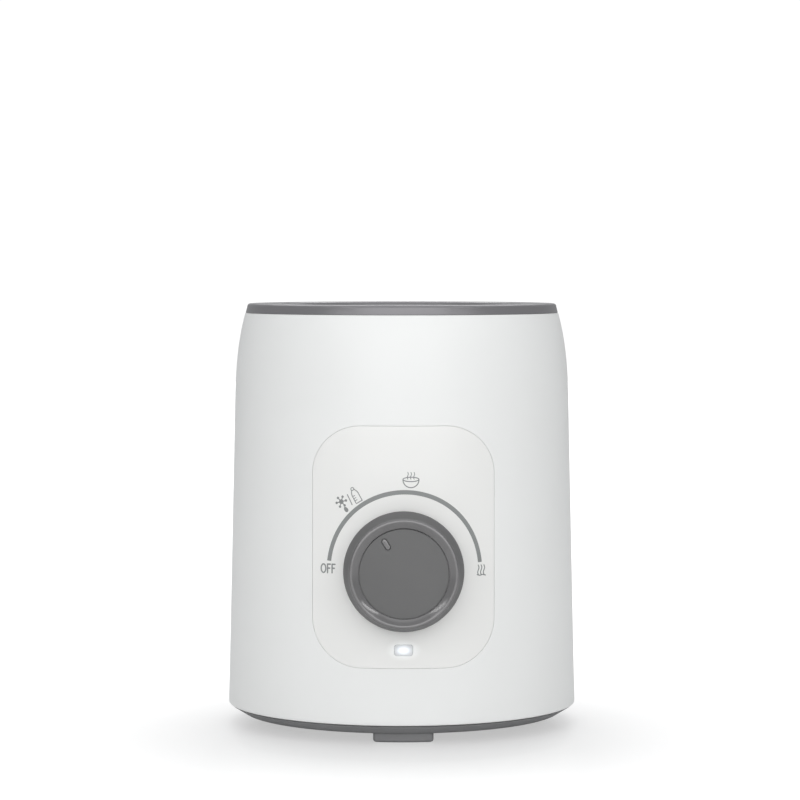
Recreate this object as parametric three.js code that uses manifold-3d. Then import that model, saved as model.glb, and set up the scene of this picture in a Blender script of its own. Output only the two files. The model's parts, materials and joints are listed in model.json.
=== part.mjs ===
// Bottle warmer: an open heating chamber inside a round, tapered housing, with one rotary control in front.
//
// Millimetres, +Z up, front towards -Y. Every piece is drawn about the chamber's own axis, with z = 0 on
// the plane that the feet stand on. The whole group is then set back along Y, so that its origin is the
// middle of the footprint, knob and cord gland included.
import * as THREE from 'three';
import { mergeVertices } from 'three/addons/utils/BufferGeometryUtils.js';
import Module from 'manifold-3d';

const wasm = await Module();
wasm.setup();

// ---------------------------------------------------------------- driving dimensions

const gap = 0.3; // clearance between pieces that rest on each other
const wall = 2.6; // housing wall

// Housing outline, from its lower edge to the rim under the top ring
const bodyRadius = 60;
const bodyHeight = 144.5;
const shellBottom = 6.5;
const shoulderHeight = 111;
const rimHeight = 141.25;
const sideTaper = 0.0229; // radius lost for each millimetre of height
const shoulderDrop = 2.85; // more radius lost between the shoulder and the rim
const shoulderPower = 2.7; // how late the shoulder turns in

// Front panel and its window, seen from the front
const panelWidth = 60;
const panelBottom = 25.5;
const panelTop = 105;
const panelCorner = 16;
const panelThickness = 1.5;
const lensWidth = 6;
const lensHeight = 3.6;
const lensCorner = 0.9;
const lensMiddle = 31.5;

// Heating chamber
const chamberRadius = 41;
const chamberWall = 2;
const chamberFloor = 64;
const linerFlangeRadius = 49.4;
const rimBore = 47.5; // opening of the housing's top flange
const plateRadius = 39.5;
const plateCrownRadius = 33.6;
const plateUnderside = 57.5;

// Rotary control
const knobHeight = 57.7;
const knobRadius = 19.8;
const knobProjection = 12.4;
const capRadius = 14.6;
const spindleRadius = 3;
const pointerAngle = 31; // degrees left of straight up
const pointerDistance = 11.2;

// Base
const baseBottom = 3.1;
const baseThickness = 2.2;
const baseTop = baseBottom + baseThickness;
const baseFlatRadius = 54.4;
const footInner = 46;
const footOuter = 53.2;
const footWidth = 20;
const footSeat = 0.5; // how far a foot sits up in the base
const screwCircle = 50.5; // radius of the circle of base screws
const bossBottom = 10.9;
const labelX = [-16, 16];
const labelY = [-38, -27];

// Cord entry at the back
const glandHeight = 18;
const glandCollar = 7;
const glandBore = 3.6;
const glandProjection = 1.8;
const glandNeck = 5;
const clampMiddle = 46; // the cord clamp inside the gland
const clampBottom = 13;
const clampTop = 15.4;
const clampPostOffset = 9.5;

// Electronics, in the gap between the front wall and the chamber
const boardRear = -44.8;
const boardFront = -46.4;
const boardScrewOffset = 16.5;
const boardScrewHeight = 27;
const relayBottom = 33;
const capacitorBottom = 34;
const terminalY = [28, 38];
const terminalPoles = [-8, 0, 8];
const terminalHeight = 11;

// ---------------------------------------------------------------- materials

const paint = (color, roughness, metalness = 0) => new THREE.MeshStandardMaterial(
  { color, roughness, metalness });

const materials = {
  whiteGloss: paint(0xf2f4f3, 0.22),
  whitePanel: paint(0xf0f0ee, 0.3),
  greySatin: paint(0x77767a, 0.38),
  greyGloss: paint(0x85858a, 0.22),
  greyMatte: paint(0x6b6b6c, 0.72),
  greyLiner: paint(0x8d8d90, 0.45),
  baseGrey: paint(0x6e6e70, 0.55),
  rubber: paint(0x4c4c4e, 0.85),
  silicone: paint(0xc9c4ba, 0.7),
  aluminium: paint(0xc4c6c8, 0.35, 0.9),
  steel: paint(0xb4b7ba, 0.3, 1),
  brass: paint(0xc9a652, 0.35, 1),
  ceramic: paint(0xe9e4da, 0.6),
  boardGreen: paint(0x1f6b45, 0.5),
  blackPlastic: paint(0x26272a, 0.5),
  bluePlastic: paint(0x2a5fa8, 0.45),
  creamPlastic: paint(0xe6e0cf, 0.5),
  clearLens: paint(0xeaf2ff, 0.15),
  labelSilver: paint(0xc8cacc, 0.5),
  wireBrown: paint(0x6b432a, 0.6),
  wireBlue: paint(0x2d64b3, 0.6),
  wireRed: paint(0xb5322c, 0.6),
  wireWhite: paint(0xe4e4e0, 0.6),
};

// ---------------------------------------------------------------- solids from three.js geometry

// Turns a closed geometry into a solid: shared corners are merged and empty triangles dropped.
function toSolid(geometry) {
  geometry.deleteAttribute('normal');
  geometry.deleteAttribute('uv');
  const merged = mergeVertices(geometry);
  const corners = merged.index.array;
  const triangles = [];
  for (let i = 0; i < corners.length; i += 3) {
    const [a, b, c] = [corners[i], corners[i + 1], corners[i + 2]];
    if (a !== b && b !== c && c !== a) triangles.push(a, b, c);
  }
  const triVerts = Uint32Array.from(triangles);
  const vertProperties = merged.attributes.position.array;
  return new wasm.Manifold(new wasm.Mesh({ numProp: 3, vertProperties, triVerts }));
}

// Gives a solid back as a named mesh.
function toMesh(name, solid, material) {
  const { vertProperties, triVerts } = solid.getMesh();
  const geometry = new THREE.BufferGeometry();
  geometry.setAttribute('position', new THREE.BufferAttribute(vertProperties, 3));
  geometry.setIndex(new THREE.BufferAttribute(triVerts, 1));
  geometry.computeVertexNormals();
  const mesh = new THREE.Mesh(geometry, material);
  mesh.name = name;
  return mesh;
}

const joinAll = (solids) => solids.reduce((whole, solid) => whole.add(solid));
const cutAll = (solid, cutters) => cutters.reduce((whole, cutter) => whole.subtract(cutter), solid);
const middle = ([low, high]) => (low + high) / 2;
const grow = ([low, high], margin) => [low - margin, high + margin];

// A section is a closed list of [radius, height], going up its outer side. It is turned about the Z axis.
function revolvedGeometry(section, segments = 40) {
  const points = [...section, section[0]].map(([radius, height]) => new THREE.Vector2(radius, height));
  return new THREE.LatheGeometry(points, segments).rotateX(Math.PI / 2);
}
const revolve = (section, segments) => toSolid(revolvedGeometry(section, segments));

const band = (inner, outer, z, segments) => revolve(
  [[inner, z[0]], [outer, z[0]], [outer, z[1]], [inner, z[1]]], segments);

function rod(radius, z, x = 0, y = 0, segments = 12) {
  const geometry = new THREE.CylinderGeometry(radius, radius, z[1] - z[0], segments);
  return toSolid(geometry.rotateX(Math.PI / 2).translate(x, y, middle(z)));
}

function rodAlongY(radius, y, x, z, segments = 12) {
  const geometry = new THREE.CylinderGeometry(radius, radius, y[1] - y[0], segments);
  return toSolid(geometry.translate(x, middle(y), z));
}

function rodAlongX(radius, x, y, z, segments = 12) {
  const geometry = new THREE.CylinderGeometry(radius, radius, x[1] - x[0], segments);
  return toSolid(geometry.rotateZ(Math.PI / 2).translate(middle(x), y, z));
}

function block(x, y, z, turn = 0) {
  const geometry = new THREE.BoxGeometry(x[1] - x[0], y[1] - y[0], z[1] - z[0]);
  return toSolid(geometry.translate(middle(x), middle(y), middle(z)).rotateZ(turn));
}

function roundedRectangle(width, height, radius, centreY = 0) {
  const [right, top] = [width / 2, height / 2];
  const shape = new THREE.Shape();
  shape.absarc(right - radius, centreY + top - radius, radius, 0, Math.PI / 2);
  shape.absarc(radius - right, centreY + top - radius, radius, Math.PI / 2, Math.PI);
  shape.absarc(radius - right, centreY + radius - top, radius, Math.PI, 1.5 * Math.PI);
  shape.absarc(right - radius, centreY + radius - top, radius, 1.5 * Math.PI, 2 * Math.PI);
  return shape;
}

function slab(shape, z, curveSegments = 3) {
  const depth = z[1] - z[0];
  const geometry = new THREE.ExtrudeGeometry(shape, { depth, bevelEnabled: false, curveSegments });
  return toSolid(geometry.translate(0, 0, z[0]));
}

// A prism whose outline is seen from the front. It reaches from y = front back to y = rear.
function frontPrism(shape, front, rear, curveSegments = 2) {
  const depth = rear - front;
  const geometry = new THREE.ExtrudeGeometry(shape, { depth, bevelEnabled: false, curveSegments });
  return toSolid(geometry.rotateX(Math.PI / 2).translate(0, rear, 0));
}

// A pan-head screw along Z: the head lies below z = seat, and the shank reaches up to z = tip.
function screw(headRadius, headHeight, shankRadius, seat, tip) {
  const dome = 0.35 * headHeight;
  const recessRadius = 0.32 * headRadius;
  const recessTop = seat - 0.45 * headHeight;
  const section = [
    [0, recessTop],
    [recessRadius, recessTop],
    [recessRadius, seat - headHeight],
    [headRadius - dome, seat - headHeight],
    [headRadius, seat - headHeight + dome],
    [headRadius, seat],
    [shankRadius, seat],
    [shankRadius, tip - shankRadius],
    [0, tip],
  ];
  return revolvedGeometry(section, 8);
}
const uprightScrew = (x, y, size, seat, tip) => toSolid(screw(...size, seat, tip).translate(x, y, 0));

// Head radius, head height and shank radius of each kind of screw
const screwSizes = {
  base: [2.9, 2.1, 1.5],
  clampRing: [2.9, 2.1, 1.4],
  heaterClamp: [2.6, 1.8, 1.25],
  board: [2.3, 1.6, 1],
  cordClamp: [2.5, 1.8, 1.1],
};

const onCircle = (radius, degrees) => {
  const angle = THREE.MathUtils.degToRad(degrees);
  return [radius * Math.cos(angle), radius * Math.sin(angle)];
};

// ---------------------------------------------------------------- housing outline

function shellRadius(z) {
  const rise = Math.max(0, (z - shoulderHeight) / (rimHeight - shoulderHeight));
  return bodyRadius - sideTaper * (z - shellBottom) - shoulderDrop * rise ** shoulderPower;
}

// The outline at a distance inside the outer surface, going up from z[0] to z[1].
function shellOutline(inset, z, shoulderSteps = 7) {
  const heights = [z[0]];
  for (let i = 0; i <= shoulderSteps; i += 1) {
    const height = shoulderHeight + ((z[1] - shoulderHeight) * i) / shoulderSteps;
    heights.push(height);
  }
  return heights.map((height) => [shellRadius(height) - inset, height]);
}

// Everything inside the housing's outline, less an inset: used to trim pieces to the curved front.
const bodyEnvelope = (inset) => revolve(
  [[0, shellBottom], ...shellOutline(inset, [shellBottom, rimHeight]), [0, rimHeight]]);

const panelRadius = shellRadius(knobHeight); // outer surface of the panel at the knob's height
const panelOutline = (margin) => roundedRectangle(
  panelWidth + 2 * margin,
  panelTop - panelBottom + 2 * margin,
  panelCorner + margin,
  (panelTop + panelBottom) / 2,
);
const lensOutline = (margin) => roundedRectangle(
  lensWidth + 2 * margin, lensHeight + 2 * margin, lensCorner, lensMiddle);
const frontOfAll = -bodyRadius - 5; // cutters start clear in front of the housing

const bushRadius = 3.9;
const collarRadius = 16.4;
const collarHeight = 1.6;
const collarThickness = 1.6;
const baseScrewAngles = [-60, 60, 180];
const footAngles = { front_foot: -90, rear_right_foot: 30, rear_left_foot: 150 };

// Four clips hold the top ring. They stand on the diagonals, so two crossed bars pick them out of a band.
const clipBars = (width) => [1, -1].map((side) => block(
  [-bodyRadius, bodyRadius], [-width / 2, width / 2], [rimHeight - 8, rimHeight + 2], (side * Math.PI) / 4));
const clipWidth = 12;
const clipInner = 50.2;
const clipOuter = 51.4;
const flangeThickness = 2.6;
const flangeUnderside = rimHeight - flangeThickness;

// ---------------------------------------------------------------- housing pieces

function outerShell() {
  const edge = 0.6; // small break on the lower outer edge
  const inner = shellOutline(wall, [shellBottom, flangeUnderside], 3).reverse();
  const outer = shellOutline(0, [shellBottom + edge, rimHeight]);
  let shell = revolve([
    [bodyRadius - edge, shellBottom],
    ...outer,
    [rimBore, rimHeight],
    [rimBore, flangeUnderside],
    ...inner,
  ]);

  // Screw bosses, each tied to the wall by a rib
  const bossRadius = 3.6;
  const bossBore = 1.8;
  const bossTop = 38;
  const ribHalf = 0.9;
  for (const degrees of baseScrewAngles) {
    const [x, y] = onCircle(screwCircle, degrees);
    const turn = THREE.MathUtils.degToRad(degrees);
    const z = [bossBottom, bossTop];
    shell = shell.add(rod(bossRadius, z, x, y));
    shell = shell.add(block([screwCircle, bodyRadius - 1.5], [-ribHalf, ribHalf], z, turn));
    shell = shell.subtract(rod(bossBore, [bossBottom - 1, bossTop - 8], x, y));
  }

  // Two pillars carry the control board
  const pillarRadius = 3;
  const pillarBore = 1.3;
  for (const x of [-boardScrewOffset, boardScrewOffset]) {
    shell = shell.add(rodAlongY(pillarRadius, [-55, boardFront - gap], x, boardScrewHeight));
    shell = shell.subtract(rodAlongY(pillarBore, [-53, boardFront], x, boardScrewHeight));
  }

  // Recess for the front panel, then the openings through the wall
  const recess = frontPrism(panelOutline(gap), frontOfAll, 0, 5).subtract(bodyEnvelope(panelThickness + gap));
  const clipSlots = clipBars(clipWidth + 2 * gap).map((bar) => bar.intersect(
    band(clipInner - gap, clipOuter + gap, [flangeUnderside - 1, rimHeight + 1])));
  return cutAll(shell, [
    recess,
    rodAlongY(bushRadius + gap, [frontOfAll, boardFront], 0, knobHeight),
    frontPrism(lensOutline(gap), frontOfAll, -50),
    rodAlongY(glandNeck + gap, [50, bodyRadius + 5], 0, glandHeight),
    ...clipSlots,
  ]);
}

// The panel carries a low round collar that closes the gap between its curve and the flat back of the knob.
function frontPanel() {
  const blank = frontPrism(panelOutline(0), frontOfAll, 0, 5).intersect(bodyEnvelope(0));
  const collar = rodAlongY(collarRadius, [-panelRadius - collarHeight, -50], 0, knobHeight, 40).subtract(
    rodAlongY(collarRadius - collarThickness, [frontOfAll, 0], 0, knobHeight, 40));
  return cutAll(blank.add(collar), [
    bodyEnvelope(panelThickness),
    rodAlongY(bushRadius + gap, [frontOfAll, 0], 0, knobHeight),
    frontPrism(lensOutline(gap), frontOfAll, 0),
  ]);
}

function topRing() {
  const outer = 53.9;
  const corner = 1.1; // rounding of the two upper edges
  const underside = rimHeight + gap;
  const overFlange = 143.35;
  const rounding = (centre, from, to) => [0, 1, 2, 3].map((i) => {
    const angle = from + ((to - from) * i) / 3;
    return [centre + corner * Math.cos(angle), bodyHeight - corner + corner * Math.sin(angle)];
  });
  const ring = revolve([
    [outer, underside],
    ...rounding(outer - 0.5 - corner, 0, Math.PI / 2),
    ...rounding(chamberRadius + corner, Math.PI / 2, Math.PI),
    [chamberRadius, overFlange],
    [linerFlangeRadius + gap, overFlange],
    [linerFlangeRadius + gap, underside],
  ]);
  const hookTop = flangeUnderside - gap;
  const hookBottom = hookTop - 1.7;
  const clipBand = revolve([
    [clipInner - 1.2, hookTop],
    [clipInner, hookBottom],
    [clipOuter, hookBottom],
    [clipOuter, underside + 1],
    [clipInner, underside + 1],
    [clipInner, hookTop],
  ]);
  const clips = clipBars(clipWidth).map((bar) => clipBand.intersect(bar));
  return joinAll([ring, ...clips]);
}

function baseCover() {
  const rimInner = 55.3;
  const rimOuter = 57.1;
  const rimTop = bossBottom - 0.4;
  const skirtTop = shellBottom - gap;
  let cover = revolve([
    [0, baseBottom],
    [baseFlatRadius, baseBottom],
    [bodyRadius - 0.9, skirtTop],
    [rimOuter, skirtTop],
    [rimOuter, rimTop],
    [rimInner, rimTop],
    [rimInner, baseTop + 1.5],
    [rimInner - 1.5, baseTop],
    [0, baseTop],
  ]);

  // Screw pillars, counterbored from below
  const pillarRadius = 4.6;
  const headBore = 3.4;
  const shankBore = 1.9;
  for (const degrees of baseScrewAngles) {
    const [x, y] = onCircle(screwCircle, degrees);
    cover = cover.add(rod(pillarRadius, [baseTop - 1, bossBottom - gap], x, y));
    cover = cover.subtract(rod(headBore, [baseBottom - 1, baseBottom + 3.5], x, y));
    cover = cover.subtract(rod(shankBore, [baseBottom, bossBottom], x, y));
  }

  // Posts under the cord clamp
  const postRadius = 2.8;
  const postBore = 1.4;
  for (const x of [-clampPostOffset, clampPostOffset]) {
    cover = cover.add(rod(postRadius, [baseTop - 1, clampBottom - gap], x, clampMiddle));
    cover = cover.subtract(rod(postBore, [baseTop + 1, clampBottom], x, clampMiddle));
  }

  // Two rows of ventilation slots under the heater
  const slotPitch = 9;
  const slotHalf = 1.5;
  const slotRows = [[-22, -6], [6, 22]];
  const slots = [];
  for (let column = -3; column <= 3; column += 1) {
    const slotX = grow([column * slotPitch, column * slotPitch], slotHalf);
    for (const row of slotRows) {
      slots.push(block(slotX, row, [baseBottom - 1, baseTop + 1]));
    }
  }

  const footRecesses = Object.values(footAngles).map((degrees) => footBlank(
    degrees, gap, [baseBottom - 1, baseBottom + footSeat + gap]));
  const labelRecess = block(
    grow(labelX, gap), grow(labelY, gap), [baseBottom - 1, baseBottom + 2 * gap]);
  return cutAll(cover, [...slots, ...footRecesses, labelRecess]);
}

// A curved block, footWidth wide, cut out of a band around the base.
function footBlank(degrees, margin, z) {
  const sector = block(
    [footInner - 5, footOuter + 5],
    [-footWidth / 2 - margin, footWidth / 2 + margin],
    grow(z, 1),
    THREE.MathUtils.degToRad(degrees),
  );
  return band(footInner - margin, footOuter + margin, z).intersect(sector);
}

// The cord gland is turned about the Y axis, with its collar outside the back wall.
function cordGland() {
  const innerFlange = 54.3;
  const section = [
    [glandBore, innerFlange],
    [glandCollar, innerFlange],
    [glandCollar, innerFlange + 2.1],
    [glandNeck, innerFlange + 2.1],
    [glandNeck, bodyRadius + 0.1],
    [glandCollar, bodyRadius + 0.1],
    [glandCollar - 1, bodyRadius + glandProjection],
    [glandBore, bodyRadius + glandProjection],
  ];
  return toSolid(revolvedGeometry(section, 20).rotateX(-Math.PI / 2).translate(0, 0, glandHeight));
}

// ---------------------------------------------------------------- heating chamber

const clampScrewCircle = 44.6;
const clampScrewAngles = [90, 210, 330];
const linerBossBottom = 57.2;
const clampRingTop = plateUnderside - gap;
const clampRingBottom = clampRingTop - 2;

function chamberLiner() {
  const ledgeInner = plateCrownRadius + 0.4;
  const ledgeBottom = chamberFloor - 2;
  const flangeBottom = rimHeight + gap;
  const cove = 1.5;
  let liner = revolve([
    [ledgeInner, ledgeBottom],
    [chamberRadius + chamberWall, ledgeBottom],
    [chamberRadius + chamberWall, flangeBottom],
    [linerFlangeRadius, flangeBottom],
    [linerFlangeRadius, flangeBottom + 1.5],
    [chamberRadius, flangeBottom + 1.5],
    [chamberRadius, chamberFloor + cove],
    [chamberRadius - 0.3 * cove, chamberFloor + 0.3 * cove],
    [chamberRadius - cove, chamberFloor],
    [ledgeInner, chamberFloor],
  ]);
  const bossRadius = 3;
  const bossBore = 1.7;
  for (const degrees of clampScrewAngles) {
    const [x, y] = onCircle(clampScrewCircle, degrees);
    liner = liner.add(rod(bossRadius, [linerBossBottom, 71], x, y));
    liner = liner.subtract(rod(bossBore, [linerBossBottom - 1, 68], x, y));
  }
  return liner;
}

const heaterPost = 24; // the two posts under the plate stand this far from the middle
const heaterBottom = 51.4;

function heatingPlate() {
  const flangeTop = 60;
  const plate = revolve([
    [0, plateUnderside],
    [plateRadius, plateUnderside],
    [plateRadius, flangeTop],
    [plateCrownRadius, flangeTop],
    [plateCrownRadius, chamberFloor - 0.8],
    [plateCrownRadius - 0.8, chamberFloor],
    [0, chamberFloor],
  ]);
  const postRadius = 3;
  const postBore = 1.55;
  const postX = [-heaterPost, heaterPost];
  const posts = postX.map((x) => rod(postRadius, [heaterBottom, plateUnderside + 1], x, 0));
  const holes = postX.map((x) => rod(postBore, [heaterBottom - 1, plateUnderside], x, 0));
  return cutAll(joinAll([plate, ...posts]), holes);
}

const plateSeal = () => band(35, 39.3, [60.3, 61.7]);

function clampRing() {
  const z = [clampRingBottom, clampRingTop];
  const [inner, outer] = [34.6, 40.2];
  const earRadius = 4.4;
  const earHole = 1.9;
  let ring = band(inner, outer, z);
  for (const degrees of clampScrewAngles) {
    const [x, y] = onCircle(clampScrewCircle, degrees);
    ring = ring.add(rod(earRadius, z, x, y));
    ring = ring.add(block([38, clampScrewCircle], [-4, 4], z, THREE.MathUtils.degToRad(degrees)));
    ring = ring.subtract(rod(earHole, grow(z, 1), x, y));
  }
  return ring;
}

const ptcHeater = () => slab(roundedRectangle(36, 24, 1.5), [heaterBottom, plateUnderside - gap]);

const heaterClampTop = heaterBottom - gap;
const heaterClampBottom = heaterClampTop - 1.1;
const heaterClamp = () => cutAll(
  slab(roundedRectangle(56, 10, 3), [heaterClampBottom, heaterClampTop]),
  [-heaterPost, heaterPost].map((x) => rod(1.6, [heaterClampBottom - 1, heaterClampTop + 1], x, 0)),
);

// A sheet-metal saddle that holds a small round component against the underside of the plate.
function saddle(heldRadius, y, z) {
  const sheet = 0.7;
  const footLength = 3.5;
  const inner = heldRadius + gap;
  const outer = inner + sheet;
  const top = plateUnderside - gap;
  const x = [-2.5, 2.5];
  const through = grow(x, 1);
  const arch = rodAlongX(outer, x, y, z).add(block(x, [y - outer, y + outer], [z, top]));
  const hollow = rodAlongX(inner, through, y, z).add(block(through, [y - inner, y + inner], [z, top + 1]));
  const feet = block(x, [y - outer - footLength, y + outer + footLength], [top - sheet, top]);
  return arch.add(feet).subtract(hollow);
}
const fuseRadius = 2.2;
const fuseY = 20;
const fuseZ = plateUnderside - gap - fuseRadius;
const sensorRadius = 1.8;
const sensorY = -20;
const sensorZ = plateUnderside - gap - sensorRadius;

// ---------------------------------------------------------------- electronics

function controlBoard() {
  const blank = block([-20, 20], [boardFront, boardRear], [22, 72]);
  return cutAll(blank, [-boardScrewOffset, boardScrewOffset].map(
    (x) => rodAlongY(1.6, [boardFront - 1, boardRear + 1], x, boardScrewHeight)));
}

// A board screw lies along Y, its head behind the board and its tip towards the front.
const boardScrew = (x) => toSolid(
  screw(...screwSizes.board, 0, 7.5).rotateX(Math.PI / 2).translate(x, boardRear + gap, boardScrewHeight));

const relay = () => block([-18, 1], [boardRear + gap, -29.5], [relayBottom, 47]);
const capacitor = () => slab(roundedRectangle(15, 9, 1.2), [capacitorBottom, 46]);

function statusLed() {
  const radius = 1.5;
  const base = boardFront - gap;
  const section = [
    [0, 0],
    [radius + 0.3, 0],
    [radius + 0.3, 0.8],
    [radius, 0.8],
    [radius, 2.4],
    [0.7 * radius, 3.5],
    [0, 3.9],
  ];
  return toSolid(revolvedGeometry(section, 12).rotateX(Math.PI / 2).translate(0, base, lensMiddle));
}

function indicatorLens() {
  const rear = -51;
  const pipe = frontPrism(lensOutline(0), frontOfAll, rear).intersect(bodyEnvelope(0));
  const flange = frontPrism(lensOutline(1.3), -56.1, -55);
  return pipe.add(flange);
}

// Each pole has a way in for its wire and a hole for its screw. Grooves part the poles.
function terminalBlock() {
  const z = [baseTop + gap, 17];
  const wireHole = 1.6;
  const screwHole = 2.1;
  const grooves = [-4, 4].map((x) => block([x - 0.5, x + 0.5], grow(terminalY, 1), [z[1] - 3, z[1] + 1]));
  const holes = terminalPoles.flatMap((x) => [
    rodAlongY(wireHole, grow(terminalY, 1), x, terminalHeight, 8),
    rod(screwHole, [terminalHeight, z[1] + 1], x, middle(terminalY), 8),
  ]);
  return cutAll(block([-13, 13], terminalY, z), [...holes, ...grooves]);
}

function cordClamp() {
  const bar = block([-13, 13], [clampMiddle - 3, clampMiddle + 3], [clampBottom, clampTop]);
  const holes = [-clampPostOffset, clampPostOffset].map(
    (x) => rod(1.7, [clampBottom - 1, clampTop + 1], x, clampMiddle));
  const cordGroove = rodAlongY(3.6, [clampMiddle - 4, clampMiddle + 4], 0, clampBottom - 2.2);
  return cutAll(bar, [...holes, cordGroove]);
}

// The cord clamp's screws point down, with their heads on top of the bar.
const cordClampScrew = (x) => toSolid(
  screw(...screwSizes.cordClamp, 0, 8).rotateX(Math.PI).translate(x, clampMiddle, clampTop + gap));

// A wire follows a smooth curve through a few points.
function wire(radius, points) {
  const path = new THREE.CatmullRomCurve3(points.map(([x, y, z]) => new THREE.Vector3(x, y, z)));
  const section = new THREE.Shape();
  section.absarc(0, 0, radius, 0, 2 * Math.PI);
  return toSolid(new THREE.ExtrudeGeometry(section, { steps: 11, curveSegments: 4, extrudePath: path }));
}

const wires = [
  ['live_wire', 1.1, materials.wireBrown, [
    [terminalPoles[0], terminalY[0] - 0.5, terminalHeight],
    [-9, 12, 9.5], [-10, -16, 10], [-10, -33, 17], [-9, -38, 27], [-9, -38, relayBottom - 0.4],
  ]],
  ['neutral_wire', 1.1, materials.wireBlue, [
    [terminalPoles[1], terminalY[0] - 0.5, terminalHeight],
    [1, 12, 9.5], [6, -16, 9], [10, -33, 17], [11.5, -40, 28], [11.5, -40, capacitorBottom - 0.4],
  ]],
  ['heater_wire', 0.9, materials.wireRed, [
    [-10, -36, 47.9], [-10.5, -32, 50.5], [-10.5, -22, 52], [-9, -12.6, 53.5],
  ]],
  ['fuse_supply_wire', 0.9, materials.wireRed, [
    [11.5, -40, 47], [16, -25, 46.5], [19, -5, 45.5], [17, 12, 48], [11, 19, 53], [6.4, fuseY, fuseZ],
  ]],
  ['fuse_heater_wire', 0.9, materials.wireRed, [
    [-6.4, fuseY, fuseZ], [-11, 19, 53.6], [-13, 16, 53], [-13, 12.6, 53.6],
  ]],
  ['sensor_lead', 0.8, materials.wireWhite, [
    [4.9, sensorY, sensorZ], [8, -21, 53.8], [8, -30, 51], [4, -39, 50], [2.5, -44.2, 50],
  ]],
];

// ---------------------------------------------------------------- rotary control
//
// These pieces share one frame: z = 0 is the panel's surface on the knob's axis, +z points out of the front,
// and +y is up. The group that holds them carries that frame onto the housing.

const controlFront = -5.6;
const controlRear = gap - boardFront - panelRadius; // the body's back rests on the board

function rotaryControl() {
  const body = slab(roundedRectangle(17, 17, 1), [controlRear, controlFront]);
  return body.subtract(rod(spindleRadius + 0.15, [controlFront - 4.4, controlFront + 1], 0, 0, 32));
}

const spindleBush = () => revolve([
  [spindleRadius + 0.15, controlFront + gap],
  [6.5, controlFront + gap],
  [6.5, controlFront + gap + 0.9],
  [bushRadius, controlFront + gap + 0.9],
  [bushRadius, 3.3],
  [spindleRadius + 0.15, 3.3],
], 32);

function bushNut() {
  const acrossCorners = 6.2;
  const nut = rod(acrossCorners, [gap, 2.2], 0, 0, 6);
  return nut.subtract(rod(bushRadius + gap, [0, 3], 0, 0, 32));
}

const spindleTip = 9;
const flatDepth = 1;
function controlSpindle() {
  const shaft = rod(spindleRadius, [controlFront - 4, spindleTip], 0, 0, 32);
  const flat = block([-4, 4], [spindleRadius - flatDepth, 4], [3.8, spindleTip + 1]);
  return shaft.subtract(flat);
}

const capFace = knobProjection - 1.4; // front of the inset disc
const capBack = capFace - 1;
const hubRadius = 5.4;
const hubBack = 4.3;

function knobRing() {
  // Sloping side, a narrow round crest, and a shallow slope that leads in to the disc
  const crestRadius = 0.95;
  const crestCentre = [knobRadius - 2.65, knobProjection - crestRadius];
  const crestSteps = 6;
  const crest = [];
  for (let i = 0; i <= crestSteps; i += 1) {
    const angle = THREE.MathUtils.degToRad(13 + (107 * i) / crestSteps);
    const [across, along] = [crestRadius * Math.cos(angle), crestRadius * Math.sin(angle)];
    crest.push([crestCentre[0] + across, crestCentre[1] + along]);
  }
  const bore = spindleRadius + gap;
  const frontWall = capBack - gap;
  const backOfWall = frontWall - 1.5;
  const ring = revolve([
    [17.6, 0.9],
    [knobRadius - 0.9, 0.9],
    [knobRadius - 0.2, 2],
    [knobRadius, 3.8],
    ...crest,
    [capRadius + gap, knobProjection - 1.08],
    [capRadius + gap, frontWall],
    [0, frontWall],
    [0, backOfWall],
    [hubRadius, backOfWall],
    [15.2, backOfWall],
    [16.8, backOfWall - 1.6],
  ]);
  const hub = rod(hubRadius, [hubBack, backOfWall + 0.5], 0, 0, 32);
  const flatInside = block([-4, 4], [spindleRadius - flatDepth + gap, 5], [0, knobProjection]);
  const boreCutter = rod(bore, [0, spindleTip + gap], 0, 0, 32).subtract(flatInside);
  return ring.add(hub).subtract(boreCutter);
}

// A capsule that lies along a radius of the knob, on the pointer's angle.
function pointerCapsule(length, width, z) {
  const end = (length - width) / 2;
  const shape = new THREE.Shape();
  shape.absarc(0, pointerDistance + end, width / 2, 0, Math.PI);
  shape.absarc(0, pointerDistance - end, width / 2, Math.PI, 2 * Math.PI);
  return slab(shape, z, 4).rotate([0, 0, pointerAngle]);
}

const knobCap = () => revolve([
  [0, capBack], [capRadius, capBack], [capRadius, capFace - 0.2], [capRadius - 0.2, capFace], [0, capFace],
]).subtract(pointerCapsule(4.4, 2.2, [capFace - 0.6, capFace + 1]));
const knobPointer = () => pointerCapsule(3.8, 1.6, [capFace - gap, capFace + 0.1]);

// A C-shaped spring that closes the split hub on the spindle.
function springClip() {
  const opening = Math.PI / 6;
  const shape = new THREE.Shape();
  shape.absarc(0, 0, hubRadius + 0.8, opening, 2 * Math.PI - opening, false);
  shape.absarc(0, 0, hubRadius + gap, 2 * Math.PI - opening, opening, true);
  return slab(shape, [hubBack + 0.3, 7], 10);
}

// ---------------------------------------------------------------- assembly

const housing = new THREE.Group();
const add = (parent, name, solid, material) => parent.add(toMesh(name, solid, material));

add(housing, 'outer_shell', outerShell(), materials.whiteGloss);
add(housing, 'front_panel', frontPanel(), materials.whitePanel);
add(housing, 'top_ring', topRing(), materials.greySatin);
add(housing, 'base_cover', baseCover(), materials.baseGrey);
add(housing, 'cord_gland', cordGland(), materials.rubber);
add(housing, 'rating_label', block(labelX, labelY, [baseBottom, baseBottom + gap]), materials.labelSilver);

for (const [name, degrees] of Object.entries(footAngles)) {
  add(housing, name, footBlank(degrees, 0, [0, baseBottom + footSeat]), materials.rubber);
}
baseScrewAngles.forEach((degrees, i) => {
  const [x, y] = onCircle(screwCircle, degrees);
  const solid = uprightScrew(x, y, screwSizes.base, baseBottom + 3.2, 24);
  add(housing, `base_screw_${i + 1}`, solid, materials.steel);
});

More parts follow.
